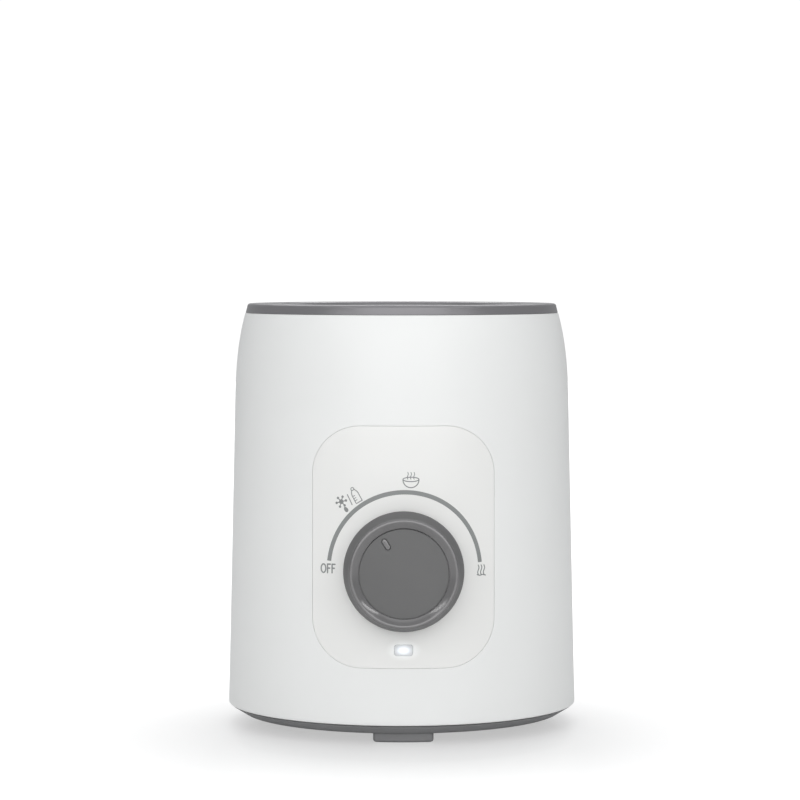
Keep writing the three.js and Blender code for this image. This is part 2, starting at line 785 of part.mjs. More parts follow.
add(housing, 'chamber_liner', chamberLiner(), materials.greyLiner);
add(housing, 'heating_plate', heatingPlate(), materials.aluminium);
add(housing, 'plate_seal', plateSeal(), materials.silicone);
add(housing, 'clamp_ring', clampRing(), materials.steel);
clampScrewAngles.forEach((degrees, i) => {
  const [x, y] = onCircle(clampScrewCircle, degrees);
  const solid = uprightScrew(x, y, screwSizes.clampRing, clampRingBottom - gap, 66);
  add(housing, `clamp_screw_${i + 1}`, solid, materials.steel);
});
add(housing, 'ptc_heater', ptcHeater(), materials.aluminium);
add(housing, 'heater_clamp', heaterClamp(), materials.steel);
[-heaterPost, heaterPost].forEach((x, i) => {
  const solid = uprightScrew(x, 0, screwSizes.heaterClamp, heaterClampBottom - gap, 56);
  add(housing, `heater_clamp_screw_${i + 1}`, solid, materials.steel);
});
add(housing, 'thermal_fuse', rodAlongX(fuseRadius, [-5.5, 5.5], fuseY, fuseZ), materials.ceramic);
add(housing, 'fuse_strap', saddle(fuseRadius, fuseY, fuseZ), materials.steel);
const sensor = rodAlongX(sensorRadius, [-4, 4], sensorY, sensorZ);
add(housing, 'temperature_sensor', sensor, materials.blackPlastic);
add(housing, 'sensor_clip', saddle(sensorRadius, sensorY, sensorZ), materials.steel);

add(housing, 'control_board', controlBoard(), materials.boardGreen);
[-boardScrewOffset, boardScrewOffset].forEach((x, i) => {
  add(housing, `board_screw_${i + 1}`, boardScrew(x), materials.steel);
});
add(housing, 'relay', relay(), materials.bluePlastic);
const capacitorMesh = toMesh('capacitor', capacitor(), materials.creamPlastic);
capacitorMesh.position.set(11.5, boardRear + gap + 4.5, 0);
housing.add(capacitorMesh);
add(housing, 'status_led', statusLed(), materials.clearLens);
add(housing, 'indicator_lens', indicatorLens(), materials.clearLens);
add(housing, 'terminal_block', terminalBlock(), materials.creamPlastic);
add(housing, 'cord_clamp', cordClamp(), materials.blackPlastic);
[-clampPostOffset, clampPostOffset].forEach((x, i) => {
  add(housing, `cord_clamp_screw_${i + 1}`, cordClampScrew(x), materials.steel);
});
for (const [name, radius, material, points] of wires) {
  add(housing, name, wire(radius, points), material);
}

// Fixed and turning pieces of the rotary control, in the control's own frame
const control = new THREE.Group();
control.position.set(0, -panelRadius, knobHeight);
control.rotation.x = Math.PI / 2;
housing.add(control);
add(control, 'rotary_control', rotaryControl(), materials.blackPlastic);
add(control, 'spindle_bush', spindleBush(), materials.brass);
add(control, 'bush_nut', bushNut(), materials.steel);

const knob = new THREE.Group();
control.add(knob);
add(knob, 'knob_ring', knobRing(), materials.greyGloss);
add(knob, 'knob_cap', knobCap(), materials.greyMatte);
add(knob, 'knob_pointer', knobPointer(), materials.greySatin);
add(knob, 'control_spindle', controlSpindle(), materials.aluminium);
add(knob, 'spring_clip', springClip(), materials.steel);

const frontReach = panelRadius + knobProjection;
const rearReach = bodyRadius + glandProjection;
const warmer = new THREE.Group();
warmer.add(housing);
housing.position.y = (frontReach - rearReach) / 2;

export default warmer;
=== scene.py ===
"""The looks of the bottle warmer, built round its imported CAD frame. Metres, +Z up, front towards -Y."""
import json
import math

import bmesh
import bpy
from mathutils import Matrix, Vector

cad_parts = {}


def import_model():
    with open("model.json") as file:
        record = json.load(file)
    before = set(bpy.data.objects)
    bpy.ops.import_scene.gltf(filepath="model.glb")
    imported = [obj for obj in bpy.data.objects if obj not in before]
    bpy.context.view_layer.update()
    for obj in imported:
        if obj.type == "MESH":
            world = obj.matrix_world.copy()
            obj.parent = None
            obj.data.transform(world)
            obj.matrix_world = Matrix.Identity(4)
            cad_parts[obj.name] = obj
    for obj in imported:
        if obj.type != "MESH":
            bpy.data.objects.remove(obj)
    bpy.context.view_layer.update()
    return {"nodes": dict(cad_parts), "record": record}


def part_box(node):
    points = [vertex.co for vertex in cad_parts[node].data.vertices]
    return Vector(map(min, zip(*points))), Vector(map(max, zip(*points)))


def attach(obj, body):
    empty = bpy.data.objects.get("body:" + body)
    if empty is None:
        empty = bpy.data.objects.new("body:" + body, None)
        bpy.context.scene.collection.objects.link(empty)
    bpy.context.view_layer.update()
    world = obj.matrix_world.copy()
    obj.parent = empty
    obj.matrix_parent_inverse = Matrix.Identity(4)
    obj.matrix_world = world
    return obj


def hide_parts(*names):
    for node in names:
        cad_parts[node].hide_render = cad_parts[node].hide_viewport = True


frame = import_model()

MM = 0.001
HOUSING = "housing"
KNOB = "knob"

# ---- sizes read from the frame

shell_low, shell_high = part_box("outer_shell")
AXIS_Y = (shell_low.y + shell_high.y) / 2
BODY_RADIUS = (shell_high.y - shell_low.y) / 2
SHELL_BOTTOM = shell_low.z
RIM = shell_high.z

panel_low, panel_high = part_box("front_panel")
PANEL_HALF_WIDTH = (panel_high.x - panel_low.x) / 2
PANEL_HALF_HEIGHT = (panel_high.z - panel_low.z) / 2
PANEL_MIDDLE = (panel_high.z + panel_low.z) / 2

ring_low, ring_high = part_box("top_ring")
BODY_TOP = ring_high.z
TOP_RING_RADIUS = ring_high.x

plate_low, plate_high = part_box("heating_plate")
CHAMBER_FLOOR = plate_high.z

knob_low, knob_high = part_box("knob_ring")
KNOB_HEIGHT = (knob_low.z + knob_high.z) / 2
KNOB_RADIUS = (knob_high.x - knob_low.x) / 2
KNOB_FRONT = knob_low.y

base_low, base_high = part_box("base_cover")
BASE_BOTTOM = base_low.z
lens_low, lens_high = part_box("indicator_lens")
LENS_MIDDLE = (lens_low.z + lens_high.z) / 2
gland_low, gland_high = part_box("cord_gland")
GLAND_HEIGHT = (gland_low.z + gland_high.z) / 2
GLAND_RADIUS = (gland_high.x - gland_low.x) / 2

# ---- sizes shared with the CAD design

WALL = 2.6 * MM
GAP = 0.3 * MM
SIDE_TAPER = 0.0229
SHOULDER_HEIGHT = 111 * MM
SHOULDER_DROP = 2.85 * MM
SHOULDER_POWER = 2.7
PANEL_CORNER = 16 * MM
PANEL_THICKNESS = 1.5 * MM
LENS_HALF_WIDTH = 3 * MM
LENS_HALF_HEIGHT = 1.8 * MM
LENS_CORNER = 0.9 * MM
CHAMBER_RADIUS = 41 * MM
CAP_RADIUS = 14.6 * MM
POINTER_ANGLE = math.radians(31)  # left of straight up
POINTER_DISTANCE = 11.2 * MM
SCREW_CIRCLE = 50.5 * MM
BASE_SCREW_ANGLES = (-60, 60, 180)
FOOT_ANGLES = {"front_foot": -90, "rear_right_foot": 30, "rear_left_foot": 150}
FOOT_INNER = 46 * MM
FOOT_OUTER = 53.2 * MM
FOOT_HALF_WIDTH = 10 * MM


def shell_radius(z):
    """Radius of the housing's outer surface at height z."""
    rise = max(0.0, (z - SHOULDER_HEIGHT) / (RIM - SHOULDER_HEIGHT))
    return BODY_RADIUS - SIDE_TAPER * (z - SHELL_BOTTOM) - SHOULDER_DROP * rise ** SHOULDER_POWER


PANEL_RADIUS = shell_radius(KNOB_HEIGHT)


# ---- mesh building

SHARP_ANGLE = math.radians(32)
MERGE_DISTANCE = 0.002 * MM  # what a cut leaves shorter than this is merged away
BISECTIONS = 40


def lerp(a, b, t):
    return a + (b - a) * t


def between(a, b, t):
    """The flat point that lies a share t of the way from a to b."""
    return lerp(a[0], b[0], t), lerp(a[1], b[1], t)


def spread(low, high, count):
    """count + 1 evenly spaced values from low to high."""
    return [lerp(low, high, i / count) for i in range(count + 1)]


def arc(centre, radius, start, end, count=6):
    """Points of a round corner, angles in degrees."""
    angles = [math.radians(a) for a in spread(start, end, count)]
    return [(centre[0] + radius * math.cos(a), centre[1] + radius * math.sin(a)) for a in angles]


def circle(centre, radius, count):
    """Outline of a circle of count points."""
    return arc(centre, radius, 0, 360 * (count - 1) / count, count - 1)


def add_object(name, data):
    """Puts new data into the scene as an object."""
    obj = bpy.data.objects.new(name, data)
    bpy.context.scene.collection.objects.link(obj)
    return obj


def tidy_normals(obj):
    """Turns every face outwards and shades it smooth, except across sharp edges."""
    bm = bmesh.new()
    bm.from_mesh(obj.data)
    bmesh.ops.recalc_face_normals(bm, faces=bm.faces)
    for face in bm.faces:
        face.smooth = True
    for edge in bm.edges:
        edge.smooth = len(edge.link_faces) == 2 and edge.calc_face_angle() < SHARP_ANGLE
    bm.to_mesh(obj.data)
    bm.free()


def finish_mesh(name, vertices, faces):
    """Makes an object of a closed mesh."""
    mesh = bpy.data.meshes.new(name)
    mesh.from_pydata(vertices, [], faces)
    obj = add_object(name, mesh)
    tidy_normals(obj)
    return obj


def join(name, pieces):
    """Joins several objects' meshes into one object."""
    bm = bmesh.new()
    for piece in pieces:
        bm.from_mesh(piece.data)
        bpy.data.objects.remove(piece)
    mesh = bpy.data.meshes.new(name)
    bm.to_mesh(mesh)
    bm.free()
    return add_object(name, mesh)


def upright(x, y, z):
    """The housing's own axis."""
    return x, AXIS_Y + y, z


def out_of_front(x, y, z):
    """The knob's axis: z counts outwards from the panel's surface and y counts up."""
    return x, AXIS_Y - PANEL_RADIUS - z, KNOB_HEIGHT + y


def out_of_back(x, y, z):
    """The cord gland's axis: z counts outwards from the housing's axis."""
    return -x, AXIS_Y + z, GLAND_HEIGHT + y


def upright_at(middle):
    """An upright axis through middle, which is measured from the housing's axis."""
    def place(x, y, z):
        return upright(middle[0] + x, middle[1] + y, z)

    return place


def revolve(name, section, segments, place=upright):
    """Turns a closed section of (radius, height) about an axis."""
    vertices = []
    rings = []
    for radius, height in section:
        if radius == 0:
            rings.append([len(vertices)] * segments)
            vertices.append(place(0, 0, height))
            continue
        rings.append(list(range(len(vertices), len(vertices) + segments)))
        for i in range(segments):
            angle = 2 * math.pi * i / segments
            vertices.append(place(radius * math.cos(angle), radius * math.sin(angle), height))
    faces = []
    for low, high in zip(rings, rings[1:] + rings[:1]):
        for i in range(segments):
            j = (i + 1) % segments
            corners = list(dict.fromkeys((low[i], low[j], high[j], high[i])))
            if len(corners) > 2:
                faces.append(corners)
    return finish_mesh(name, vertices, faces)


def loft(name, loops, capped=True):
    """Joins closed loops of equally many points. Without caps, the last loop meets the first."""
    count = len(loops[0])
    vertices = [point for loop in loops for point in loop]
    faces = []
    pairs = len(loops) - 1 if capped else len(loops)
    for k in range(pairs):
        low = k * count
        high = (k + 1) % len(loops) * count
        for i in range(count):
            j = (i + 1) % count
            faces.append((low + i, low + j, high + j, high + i))
    if capped:
        last = (len(loops) - 1) * count
        faces.append(tuple(reversed(range(count))))
        faces.append(tuple(range(last, last + count)))
    return finish_mesh(name, vertices, faces)


def carve(obj, cutters):
    """Cuts each cutter out of obj, throws the cutters away and merges the slivers that are left."""
    for cutter in cutters:
        modifier = obj.modifiers.new("cut", "BOOLEAN")
        modifier.operation = "DIFFERENCE"
        modifier.solver = "EXACT"
        modifier.object = cutter
    graph = bpy.context.evaluated_depsgraph_get()
    mesh = bpy.data.meshes.new_from_object(obj.evaluated_get(graph))
    obj.modifiers.clear()
    obj.data = mesh
    for cutter in cutters:
        bpy.data.objects.remove(cutter)
    bm = bmesh.new()
    bm.from_mesh(mesh)
    bmesh.ops.dissolve_degenerate(bm, edges=bm.edges, dist=MERGE_DISTANCE)
    bmesh.ops.remove_doubles(bm, verts=bm.verts, dist=MERGE_DISTANCE)
    bm.to_mesh(mesh)
    bm.free()
    tidy_normals(obj)


def prism(name, outline, low, high, place=upright):
    """Extrudes a flat outline from low to high."""
    return loft(name, [[place(x, y, z) for x, y in outline] for z in (low, high)])


def turned(outline, degrees):
    """Turns a flat outline about the origin."""
    angle = math.radians(degrees)
    c, s = math.cos(angle), math.sin(angle)
    return [(x * c - y * s, x * s + y * c) for x, y in outline]


def rounded_rectangle(half_width, half_height, corner, centre=(0, 0), steps=8):
    """Outline of a rectangle with round corners, counterclockwise from its right side."""
    points = []
    for quarter, (sx, sy) in enumerate(((1, 1), (-1, 1), (-1, -1), (1, -1))):
        middle = (centre[0] + sx * (half_width - corner), centre[1] + sy * (half_height - corner))
        points += arc(middle, corner, 90 * quarter, 90 * quarter + 90, steps)
    return points


def boundary_distance(x, z, rectangle):
    """Signed distance from a point to a rounded rectangle on the front, negative inside."""
    half_width, half_height, corner, middle = rectangle
    dx = abs(x) - half_width + corner
    dz = abs(z - middle) - half_height + corner
    return math.hypot(max(dx, 0), max(dz, 0)) + min(max(dx, dz), 0) - corner


def crossings(start, targets, rectangle):
    """Where the rays from (0, start) through the targets cross a rounded rectangle."""
    found = []
    for x, z in targets:
        length = math.hypot(x, z - start)
        dx, dz = x / length, (z - start) / length
        near, far = 0.0, 2 * (rectangle[0] + rectangle[1])
        for _ in range(BISECTIONS):
            half = (near + far) / 2
            inside = boundary_distance(dx * half, start + dz * half, rectangle) < 0
            near, far = (half, far) if inside else (near, half)
        found.append((dx * near, start + dz * near))
    return found


def on_front(x, z, inset=0.0):
    """A point of the housing's curved front, seen from the front at (x, z), inset below the surface."""
    radius = shell_radius(z) - inset
    return x, AXIS_Y - math.sqrt(max(radius * radius - x * x, 0)), z


# ---- materials

class Nodes:
    """A short way to write a Principled material's node tree."""

    def __init__(self, name):
        self.material = bpy.data.materials.new(name)
        self.material.use_nodes = True
        self.tree = self.material.node_tree
        self.shader = self.tree.nodes["Principled BSDF"]
        self.position = self.add("ShaderNodeTexCoord").outputs["Object"]

    def add(self, kind, **settings):
        node = self.tree.nodes.new(kind)
        for key, value in settings.items():
            setattr(node, key, value)
        return node

    def put(self, value, socket):
        """Feeds a socket with another node's output or with a plain value."""
        if isinstance(value, bpy.types.NodeSocket):
            self.tree.links.new(value, socket)
        else:
            socket.default_value = value

    def fill(self, node, values):
        """Feeds a node's inputs by name, with underscores for the spaces."""
        for key, value in values.items():
            self.put(value, node.inputs[key.replace("_", " ")])

    def set(self, **values):
        self.fill(self.shader, values)

    def noise(self, scale, detail=3.0, roughness=0.5):
        node = self.add("ShaderNodeTexNoise")
        values = {"Vector": self.position, "Scale": scale, "Detail": detail, "Roughness": roughness}
        self.fill(node, values)
        return node.outputs["Fac"]

    def math(self, operation, *operands):
        node = self.add("ShaderNodeMath", operation=operation)
        for socket, operand in zip(node.inputs, operands):
            self.put(operand, socket)
        return node.outputs["Value"]

    def vector_math(self, operation, *operands):
        node = self.add("ShaderNodeVectorMath", operation=operation)
        for socket, operand in zip(node.inputs, operands):
            self.put(operand, socket)
        return node.outputs["Value" if operation == "LENGTH" else "Vector"]

    def distance(self, centre, weights=(1, 1, 1)):
        """Distance from centre, with each axis scaled by its weight."""
        offset = self.vector_math("SUBTRACT", self.position, centre)
        return self.vector_math("LENGTH", self.vector_math("MULTIPLY", offset, weights))

    def remap(self, value, low, high, new_low, new_high):
        node = self.add("ShaderNodeMapRange")
        limits = {"From_Min": low, "From_Max": high, "To_Min": new_low, "To_Max": new_high}
        self.fill(node, {"Value": value, **limits})
        return node.outputs["Result"]

    def blend(self, factor, colour_a, colour_b):
        node = self.add("ShaderNodeMix", data_type="RGBA")
        self.fill(node, {"Factor": factor, "A": (*colour_a, 1), "B": (*colour_b, 1)})
        return node.outputs["Result"]

    def bump(self, height, distance, **below):
        """Relief of this depth. Normal=another bump puts it on top of that one."""
        node = self.add("ShaderNodeBump")
        self.fill(node, {"Height": height, "Distance": distance, **below})
        return node.outputs["Normal"]


def shade(colour, amount):
    return tuple(min(1.0, channel * amount) for channel in colour)


CLOUD_SCALE = 38  # slow unevenness, in patches about 26 mm across
LAMP_COLOUR = (0.86, 0.94, 1.0, 1)


def moulded(name, colour, roughness, grain, grain_depth, ripple=0.0, variation=0.02):
    """Moulded plastic or rubber: fine grain, slow ripples, uneven tone and gloss. Depths are in mm."""
    nodes = Nodes(name)
    cloud = nodes.noise(CLOUD_SCALE, 4)
    speck = nodes.noise(grain, 2)
    low, high = shade(colour, 1 - variation), shade(colour, 1 + variation)
    cloud_gloss = nodes.remap(cloud, 0.25, 0.75, -0.03, 0.03)
    speck_gloss = nodes.remap(speck, 0.3, 0.7, -0.02, 0.02)
    normal = nodes.bump(speck, grain_depth * MM)
    if ripple:
        normal = nodes.bump(nodes.noise(260, 1), ripple * MM, Normal=normal)
    nodes.set(Base_Color=nodes.blend(nodes.remap(cloud, 0.3, 0.7, 0, 1), low, high),
              Roughness=nodes.math("ADD", nodes.math("ADD", cloud_gloss, speck_gloss), roughness),
              Normal=normal)
    return nodes


def satin(name, colour, roughness, metallic, shaded_side_colour=None, side_roughness=0.0):
    """Satin metallic plastic. The knob's has another colour and gloss on its side, outside the crest: a
    rougher skirt whose darker colour is partly its own and partly painted shade.
    """
    crest_edge, side_edge = 17.7 * MM, 18.2 * MM
    nodes = Nodes(name)
    cloud = nodes.noise(CLOUD_SCALE, 4)
    gloss = nodes.remap(cloud, 0.3, 0.7, roughness - 0.02, roughness + 0.03)
    if shaded_side_colour:
        from_axis = nodes.distance((0, 0, KNOB_HEIGHT), (1, 0, 1))
        side = nodes.remap(from_axis, crest_edge, side_edge, 0, 1)
        # The side band's darker colour is partly painted shade, standing in for the dark look of the
        # knob's sides.
        tone = nodes.blend(side, colour, shaded_side_colour)
        gloss = nodes.math("ADD", gloss, nodes.math("MULTIPLY", side, side_roughness - roughness))
    else:
        tone = nodes.blend(cloud, shade(colour, 0.97), shade(colour, 1.03))
    nodes.set(Base_Color=tone, Roughness=gloss, Metallic=metallic,
              Normal=nodes.bump(nodes.noise(2000, 2), 0.0008 * MM))
    return nodes


def metal(name, colour, roughness):
    """Plated or turned metal, with fine scratches and cloudy tarnish."""
    nodes = Nodes(name)
    scratch = nodes.noise(900, 3, 0.6)
    nodes.set(Base_Color=nodes.blend(nodes.noise(60, 5), shade(colour, 0.88), shade(colour, 1.06)),
              Roughness=nodes.remap(scratch, 0.3, 0.7, roughness - 0.07, roughness + 0.09),
              Normal=nodes.bump(scratch, 0.006 * MM), Metallic=1.0)
    return nodes


def turned_aluminium():
    """The heating plate: concentric tool marks about the chamber's axis, and light water staining."""
    groove_pitch, groove_depth = 1.3 * MM, 0.006 * MM
    nodes = Nodes("turned_aluminium")
    stain = nodes.noise(45, 4)
    from_axis = nodes.distance((0, AXIS_Y, 0), (1, 1, 0))
    grooves = nodes.math("SINE", nodes.math("MULTIPLY", from_axis, 2 * math.pi / groove_pitch))
    normal = nodes.bump(grooves, groove_depth)
    nodes.set(Base_Color=nodes.blend(stain, (0.66, 0.67, 0.68), (0.80, 0.81, 0.82)),
              Roughness=nodes.remap(stain, 0.3, 0.7, 0.3, 0.4),
              Normal=nodes.bump(nodes.noise(1500, 2), 0.001 * MM, Normal=normal), Metallic=1.0)
    return nodes


def glow(nodes, start, end, power, strength):
    """Lamp light in a piece near the status window, fading from start to end. 1 is the window's edge."""
    weights = (1 / LENS_HALF_WIDTH, 1 / LENS_HALF_WIDTH, 1 / LENS_HALF_HEIGHT)
    share = nodes.remap(nodes.distance(on_front(0, LENS_MIDDLE), weights), start, end, 1, 0)
    light = nodes.math("MULTIPLY", nodes.math("POWER", share, power), strength)
    nodes.set(Emission_Strength=light, Emission_Color=LAMP_COLOUR)
    return nodes


def lit_panel():
    """The panel's plastic, which lets a little of the status light through around its window."""
    nodes = moulded("panel_white", (0.838, 0.838, 0.822), 0.34, 1500, 0.0006, 0.001, 0.006)
    return glow(nodes, 0.95, 2.1, 1.4, 0.16)


def lit_lens():
    """The status light's window: frosted, brightest over the lamp behind it."""
    nodes = moulded("status_lens", (0.73, 0.745, 0.765), 0.25, 1800, 0.001, variation=0.03)
    return glow(nodes, 0.25, 1.0, 1.2, 0.6)


def board_mask():
    """Green solder mask with faint copper tracks under it."""
    nodes = Nodes("board_green")
    tracks = nodes.add("ShaderNodeTexBrick")
    nodes.fill(tracks, {
        "Vector": nodes.position, "Scale": 160, "Mortar_Size": 0.03, "Color1": (0.012, 0.10, 0.05, 1),
        "Color2": (0.016, 0.13, 0.06, 1), "Mortar": (0.05, 0.24, 0.09, 1),
    })
    nodes.set(Base_Color=tracks.outputs["Color"],
              Roughness=nodes.remap(nodes.noise(900), 0.3, 0.7, 0.3, 0.42),
              Normal=nodes.bump(tracks.outputs["Fac"], 0.02 * MM))
    return nodes


MATERIALS = {
    "white_gloss": moulded("shell_white", (0.838, 0.845, 0.836), 0.38, 1300, 0.0004, 0.001, 0.005),
    "white_panel": lit_panel(),
    "grey_satin": satin("ring_grey", (0.21, 0.206, 0.215), 0.3, 0.35),
    # The knob ring's darker side colour is partly painted shade.
    "grey_gloss": satin("knob_ring_grey", (0.20, 0.197, 0.199), 0.16, 0.45, (0.155, 0.154, 0.156), 0.6),
    "grey_matte": moulded("knob_cap_grey", (0.135, 0.135, 0.135), 0.62, 3600, 0.012, variation=0.05),
    "grey_liner": moulded("liner_grey", (0.26, 0.26, 0.27), 0.4, 1700, 0.004, 0.003),
    "base_grey": moulded("base_grey", (0.25, 0.25, 0.255), 0.45, 2600, 0.008),
    "rubber": moulded("foot_rubber", (0.24, 0.24, 0.245), 0.7, 3000, 0.02, variation=0.06),
    "silicone": moulded("seal_silicone", (0.58, 0.55, 0.49), 0.6, 2600, 0.006),
    "aluminium": turned_aluminium(),
    "steel": metal("zinc_plated_steel", (0.62, 0.63, 0.64), 0.28),
    "brass": metal("turned_brass", (0.74, 0.56, 0.25), 0.25),
    "ceramic": moulded("fuse_ceramic", (0.80, 0.77, 0.70), 0.55, 2200, 0.008),
    "board_green": board_mask(),
    "black_plastic": moulded("black_plastic", (0.028, 0.028, 0.03), 0.45, 2500, 0.008),
    "blue_plastic": moulded("relay_blue", (0.03, 0.11, 0.36), 0.35, 2200, 0.004),
    "cream_plastic": moulded("cream_plastic", (0.74, 0.70, 0.58), 0.42, 2200, 0.005),
    "clear_lens": lit_lens(),
    "label_silver": moulded("label_film", (0.56, 0.57, 0.58), 0.38, 1400, 0.002),
    "wire_brown": moulded("wire_brown", (0.15, 0.06, 0.03), 0.45, 2400, 0.004),
    "wire_blue": moulded("wire_blue", (0.03, 0.12, 0.42), 0.45, 2400, 0.004),
    "wire_red": moulded("wire_red", (0.43, 0.04, 0.03), 0.5, 2400, 0.004),
    "wire_white": moulded("wire_white", (0.74, 0.74, 0.71), 0.45, 2400, 0.004),
}
DIAL_INK = moulded("dial_ink", (0.255, 0.265, 0.262), 0.45, 2400, 0.002, variation=0.03)

replaced_nodes = set()


def dress(obj, slot, body, *replaced):
    """Gives a piece its material, its body and the CAD nodes that it stands for."""
    obj.data.materials.clear()
    obj.data.materials.append(MATERIALS[slot].material)
    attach(obj, body)
    if replaced:
        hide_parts(*replaced)
        replaced_nodes.update(replaced)


# ---- housing

SHELL_COLUMNS = 288
PATCH_COLUMNS = 28  # columns on either side of the middle that the panel's surround takes up
PATCH_LOW = 21.5 * MM
PATCH_HIGH = 109 * MM
EDGE_ROUND = 0.1 * MM
SEAM = 0.06 * MM  # the gap that shows round the panel and round the status light's window
BUSH_BORE = 4.2 * MM
GLAND_BORE = 5.3 * MM
GLAND_CUT = (50 * MM, 65 * MM)  # from the housing's axis, through its back wall
CUT_DEPTH = 8 * MM  # from the panel's surface to well inside the housing's wall


def panel_size(margin):
    """The panel's outline as (half width, half height, corner, middle), grown by margin."""
    return PANEL_HALF_WIDTH + margin, PANEL_HALF_HEIGHT + margin, PANEL_CORNER + margin, PANEL_MIDDLE


def lens_size(margin):
    """The window's outline, likewise."""
    return LENS_HALF_WIDTH + margin, LENS_HALF_HEIGHT + margin, LENS_CORNER, LENS_MIDDLE


def rounded_steps():
    """A small rounded edge as (margin, inset) pairs, from its outer side at the surface to its wall."""
    return [(EDGE_ROUND * (1 - math.sin(turn)), EDGE_ROUND * (1 - math.cos(turn)))
            for turn in spread(0, math.pi / 2, 4)]


def bush_cutter(end):
    """A rod along the knob's axis, for the bush's hole."""
    return prism("bush_cutter", circle((0, 0), BUSH_BORE, 36), -CUT_DEPTH, end, out_of_front)


def shell_section():
    """The housing's section as (radius, height) points. The outer side's rows come first."""
    lower_round = 0.6 * MM
    upper_round = 0.35 * MM
    flange = 2.6 * MM
    rim_bore = 47.5 * MM
    below = spread(SHELL_BOTTOM + lower_round, PATCH_LOW, 10)
    beside = spread(PATCH_LOW, PATCH_HIGH, 60)[1:]
    above = spread(PATCH_HIGH, RIM - upper_round, 26)[1:]
    outer = [(shell_radius(z), z) for z in below + beside + above]
    first, last = outer[0], outer[-1]
    lower = arc((first[0] - lower_round, first[1]), lower_round, -90, 0)[:-1]
    upper = arc((last[0] - upper_round, last[1]), upper_round, 0, 90)[1:]
    inner = [(shell_radius(z) - WALL, z) for z in spread(RIM - flange, SHELL_BOTTOM, 24)]
    rows = lower + outer + upper + [(rim_bore, RIM), (rim_bore, RIM - flange)] + inner
    start = len(lower) + len(below) - 1
    return rows, start, start + len(beside)


def outer_shell():
    """The white housing, with a recess whose rounded edge follows the front panel's outline."""
    rows, patch_start, patch_end = shell_section()
    columns = SHELL_COLUMNS
    vertices = []
    for radius, height in rows:
        for i in range(columns):
            angle = 2 * math.pi * i / columns  # from the front towards +X
            vertices.append(upright(radius * math.sin(angle), -radius * math.cos(angle), height))

    def index(row, column):
        return row % len(rows) * columns + column % columns

    faces = []
    for row in range(len(rows)):
        for column in range(columns):
            middle = (column + columns // 2) % columns - columns // 2
            in_patch = patch_start <= row < patch_end and -PATCH_COLUMNS <= middle < PATCH_COLUMNS
            if not in_patch:
                faces.append((index(row, column), index(row, column + 1),
                              index(row + 1, column + 1), index(row + 1, column)))

    border = [index(patch_start, c) for c in range(-PATCH_COLUMNS, PATCH_COLUMNS)]
    border += [index(r, PATCH_COLUMNS) for r in range(patch_start, patch_end)]
    border += [index(patch_end, c) for c in range(PATCH_COLUMNS, -PATCH_COLUMNS, -1)]
    border += [index(r, -PATCH_COLUMNS) for r in range(patch_end, patch_start, -1)]
    border_points = [(vertices[i][0], vertices[i][2]) for i in border]

    def outline(margin):
        return crossings(PANEL_MIDDLE, border_points, panel_size(margin))

    loops = []
    edge = outline(SEAM + EDGE_ROUND)
    for t in (0.25, 0.5, 0.72, 0.88):
        loops.append(([between(b, e, t) for b, e in zip(border_points, edge)], 0))
    loops += [(outline(SEAM + margin), inset) for margin, inset in rounded_steps()]
    depth = PANEL_THICKNESS + GAP
    wall = outline(SEAM)
    for share in (1, 0.8, 0.6, 0.4, 0.2):
        loops.append(([between((0, PANEL_MIDDLE), point, share) for point in wall], depth))

    previous = border
    count = len(border)
    for points, inset in loops:
        ring = range(len(vertices), len(vertices) + count)
        vertices += [on_front(x, z, inset) for x, z in points]
        for i in range(count):
            j = (i + 1) % count
            faces.append((previous[i], previous[j], ring[j], ring[i]))
        previous = ring
    hub = len(vertices)
    vertices.append(on_front(0, PANEL_MIDDLE, depth))
    for i in range(count):
        faces.append((previous[i], previous[(i + 1) % count], hub))

    shell = finish_mesh("housing_shell", vertices, faces)
    window = rounded_rectangle(*lens_size(GAP)[:3], centre=(0, LENS_MIDDLE - KNOB_HEIGHT))
    carve(shell, [
        bush_cutter(0),
        prism("window_cutter", window, -CUT_DEPTH, 0, out_of_front),
        prism("gland_cutter", circle((0, 0), GLAND_BORE, 60), *GLAND_CUT, out_of_back),
    ])
    dress(shell, "white_gloss", HOUSING, "outer_shell")


def front_panel():
    """The flush control panel, lofted from its window out to its edge and back along its rear face."""
    straight_step = 1.5 * MM
    outline = []
    corners = rounded_rectangle(*panel_size(0)[:3], centre=(0, PANEL_MIDDLE), steps=28)
    for here, following in zip(corners, corners[1:] + corners[:1]):
        pieces = max(1, round(math.dist(here, following) / straight_step))
        outline += [between(here, following, k / pieces) for k in range(pieces)]
    outline = [p for i, p in enumerate(outline) if math.dist(p, outline[i - 1]) > MERGE_DISTANCE]

    def panel_loop(margin):
        return crossings(LENS_MIDDLE, outline, panel_size(margin))

    def window_loop(margin):
        return crossings(LENS_MIDDLE, outline, lens_size(margin))

    def across(inner, outer, share, inset):
        return [on_front(*between(a, b, share), inset) for a, b in zip(inner, outer)]

    loops = []
    for margin, inset in reversed(rounded_steps()):
        loops.append([on_front(x, z, inset) for x, z in window_loop(SEAM + margin)])
    inner, outer = window_loop(SEAM + EDGE_ROUND), panel_loop(-EDGE_ROUND)
    for share in spread(0, 1, 34)[1:-1]:
        loops.append(across(inner, outer, share, 0))
    for margin, inset in rounded_steps():
        loops.append([on_front(x, z, inset) for x, z in panel_loop(-margin)])
    inner, outer = window_loop(SEAM), panel_loop(0)
    for share in (1, 0.75, 0.5, 0.25, 0):
        loops.append(across(inner, outer, share, PANEL_THICKNESS))
    panel = loft("control_panel", loops, capped=False)
    carve(panel, [bush_cutter(CUT_DEPTH / 2)])
    dress(panel, "white_panel", HOUSING, "front_panel")


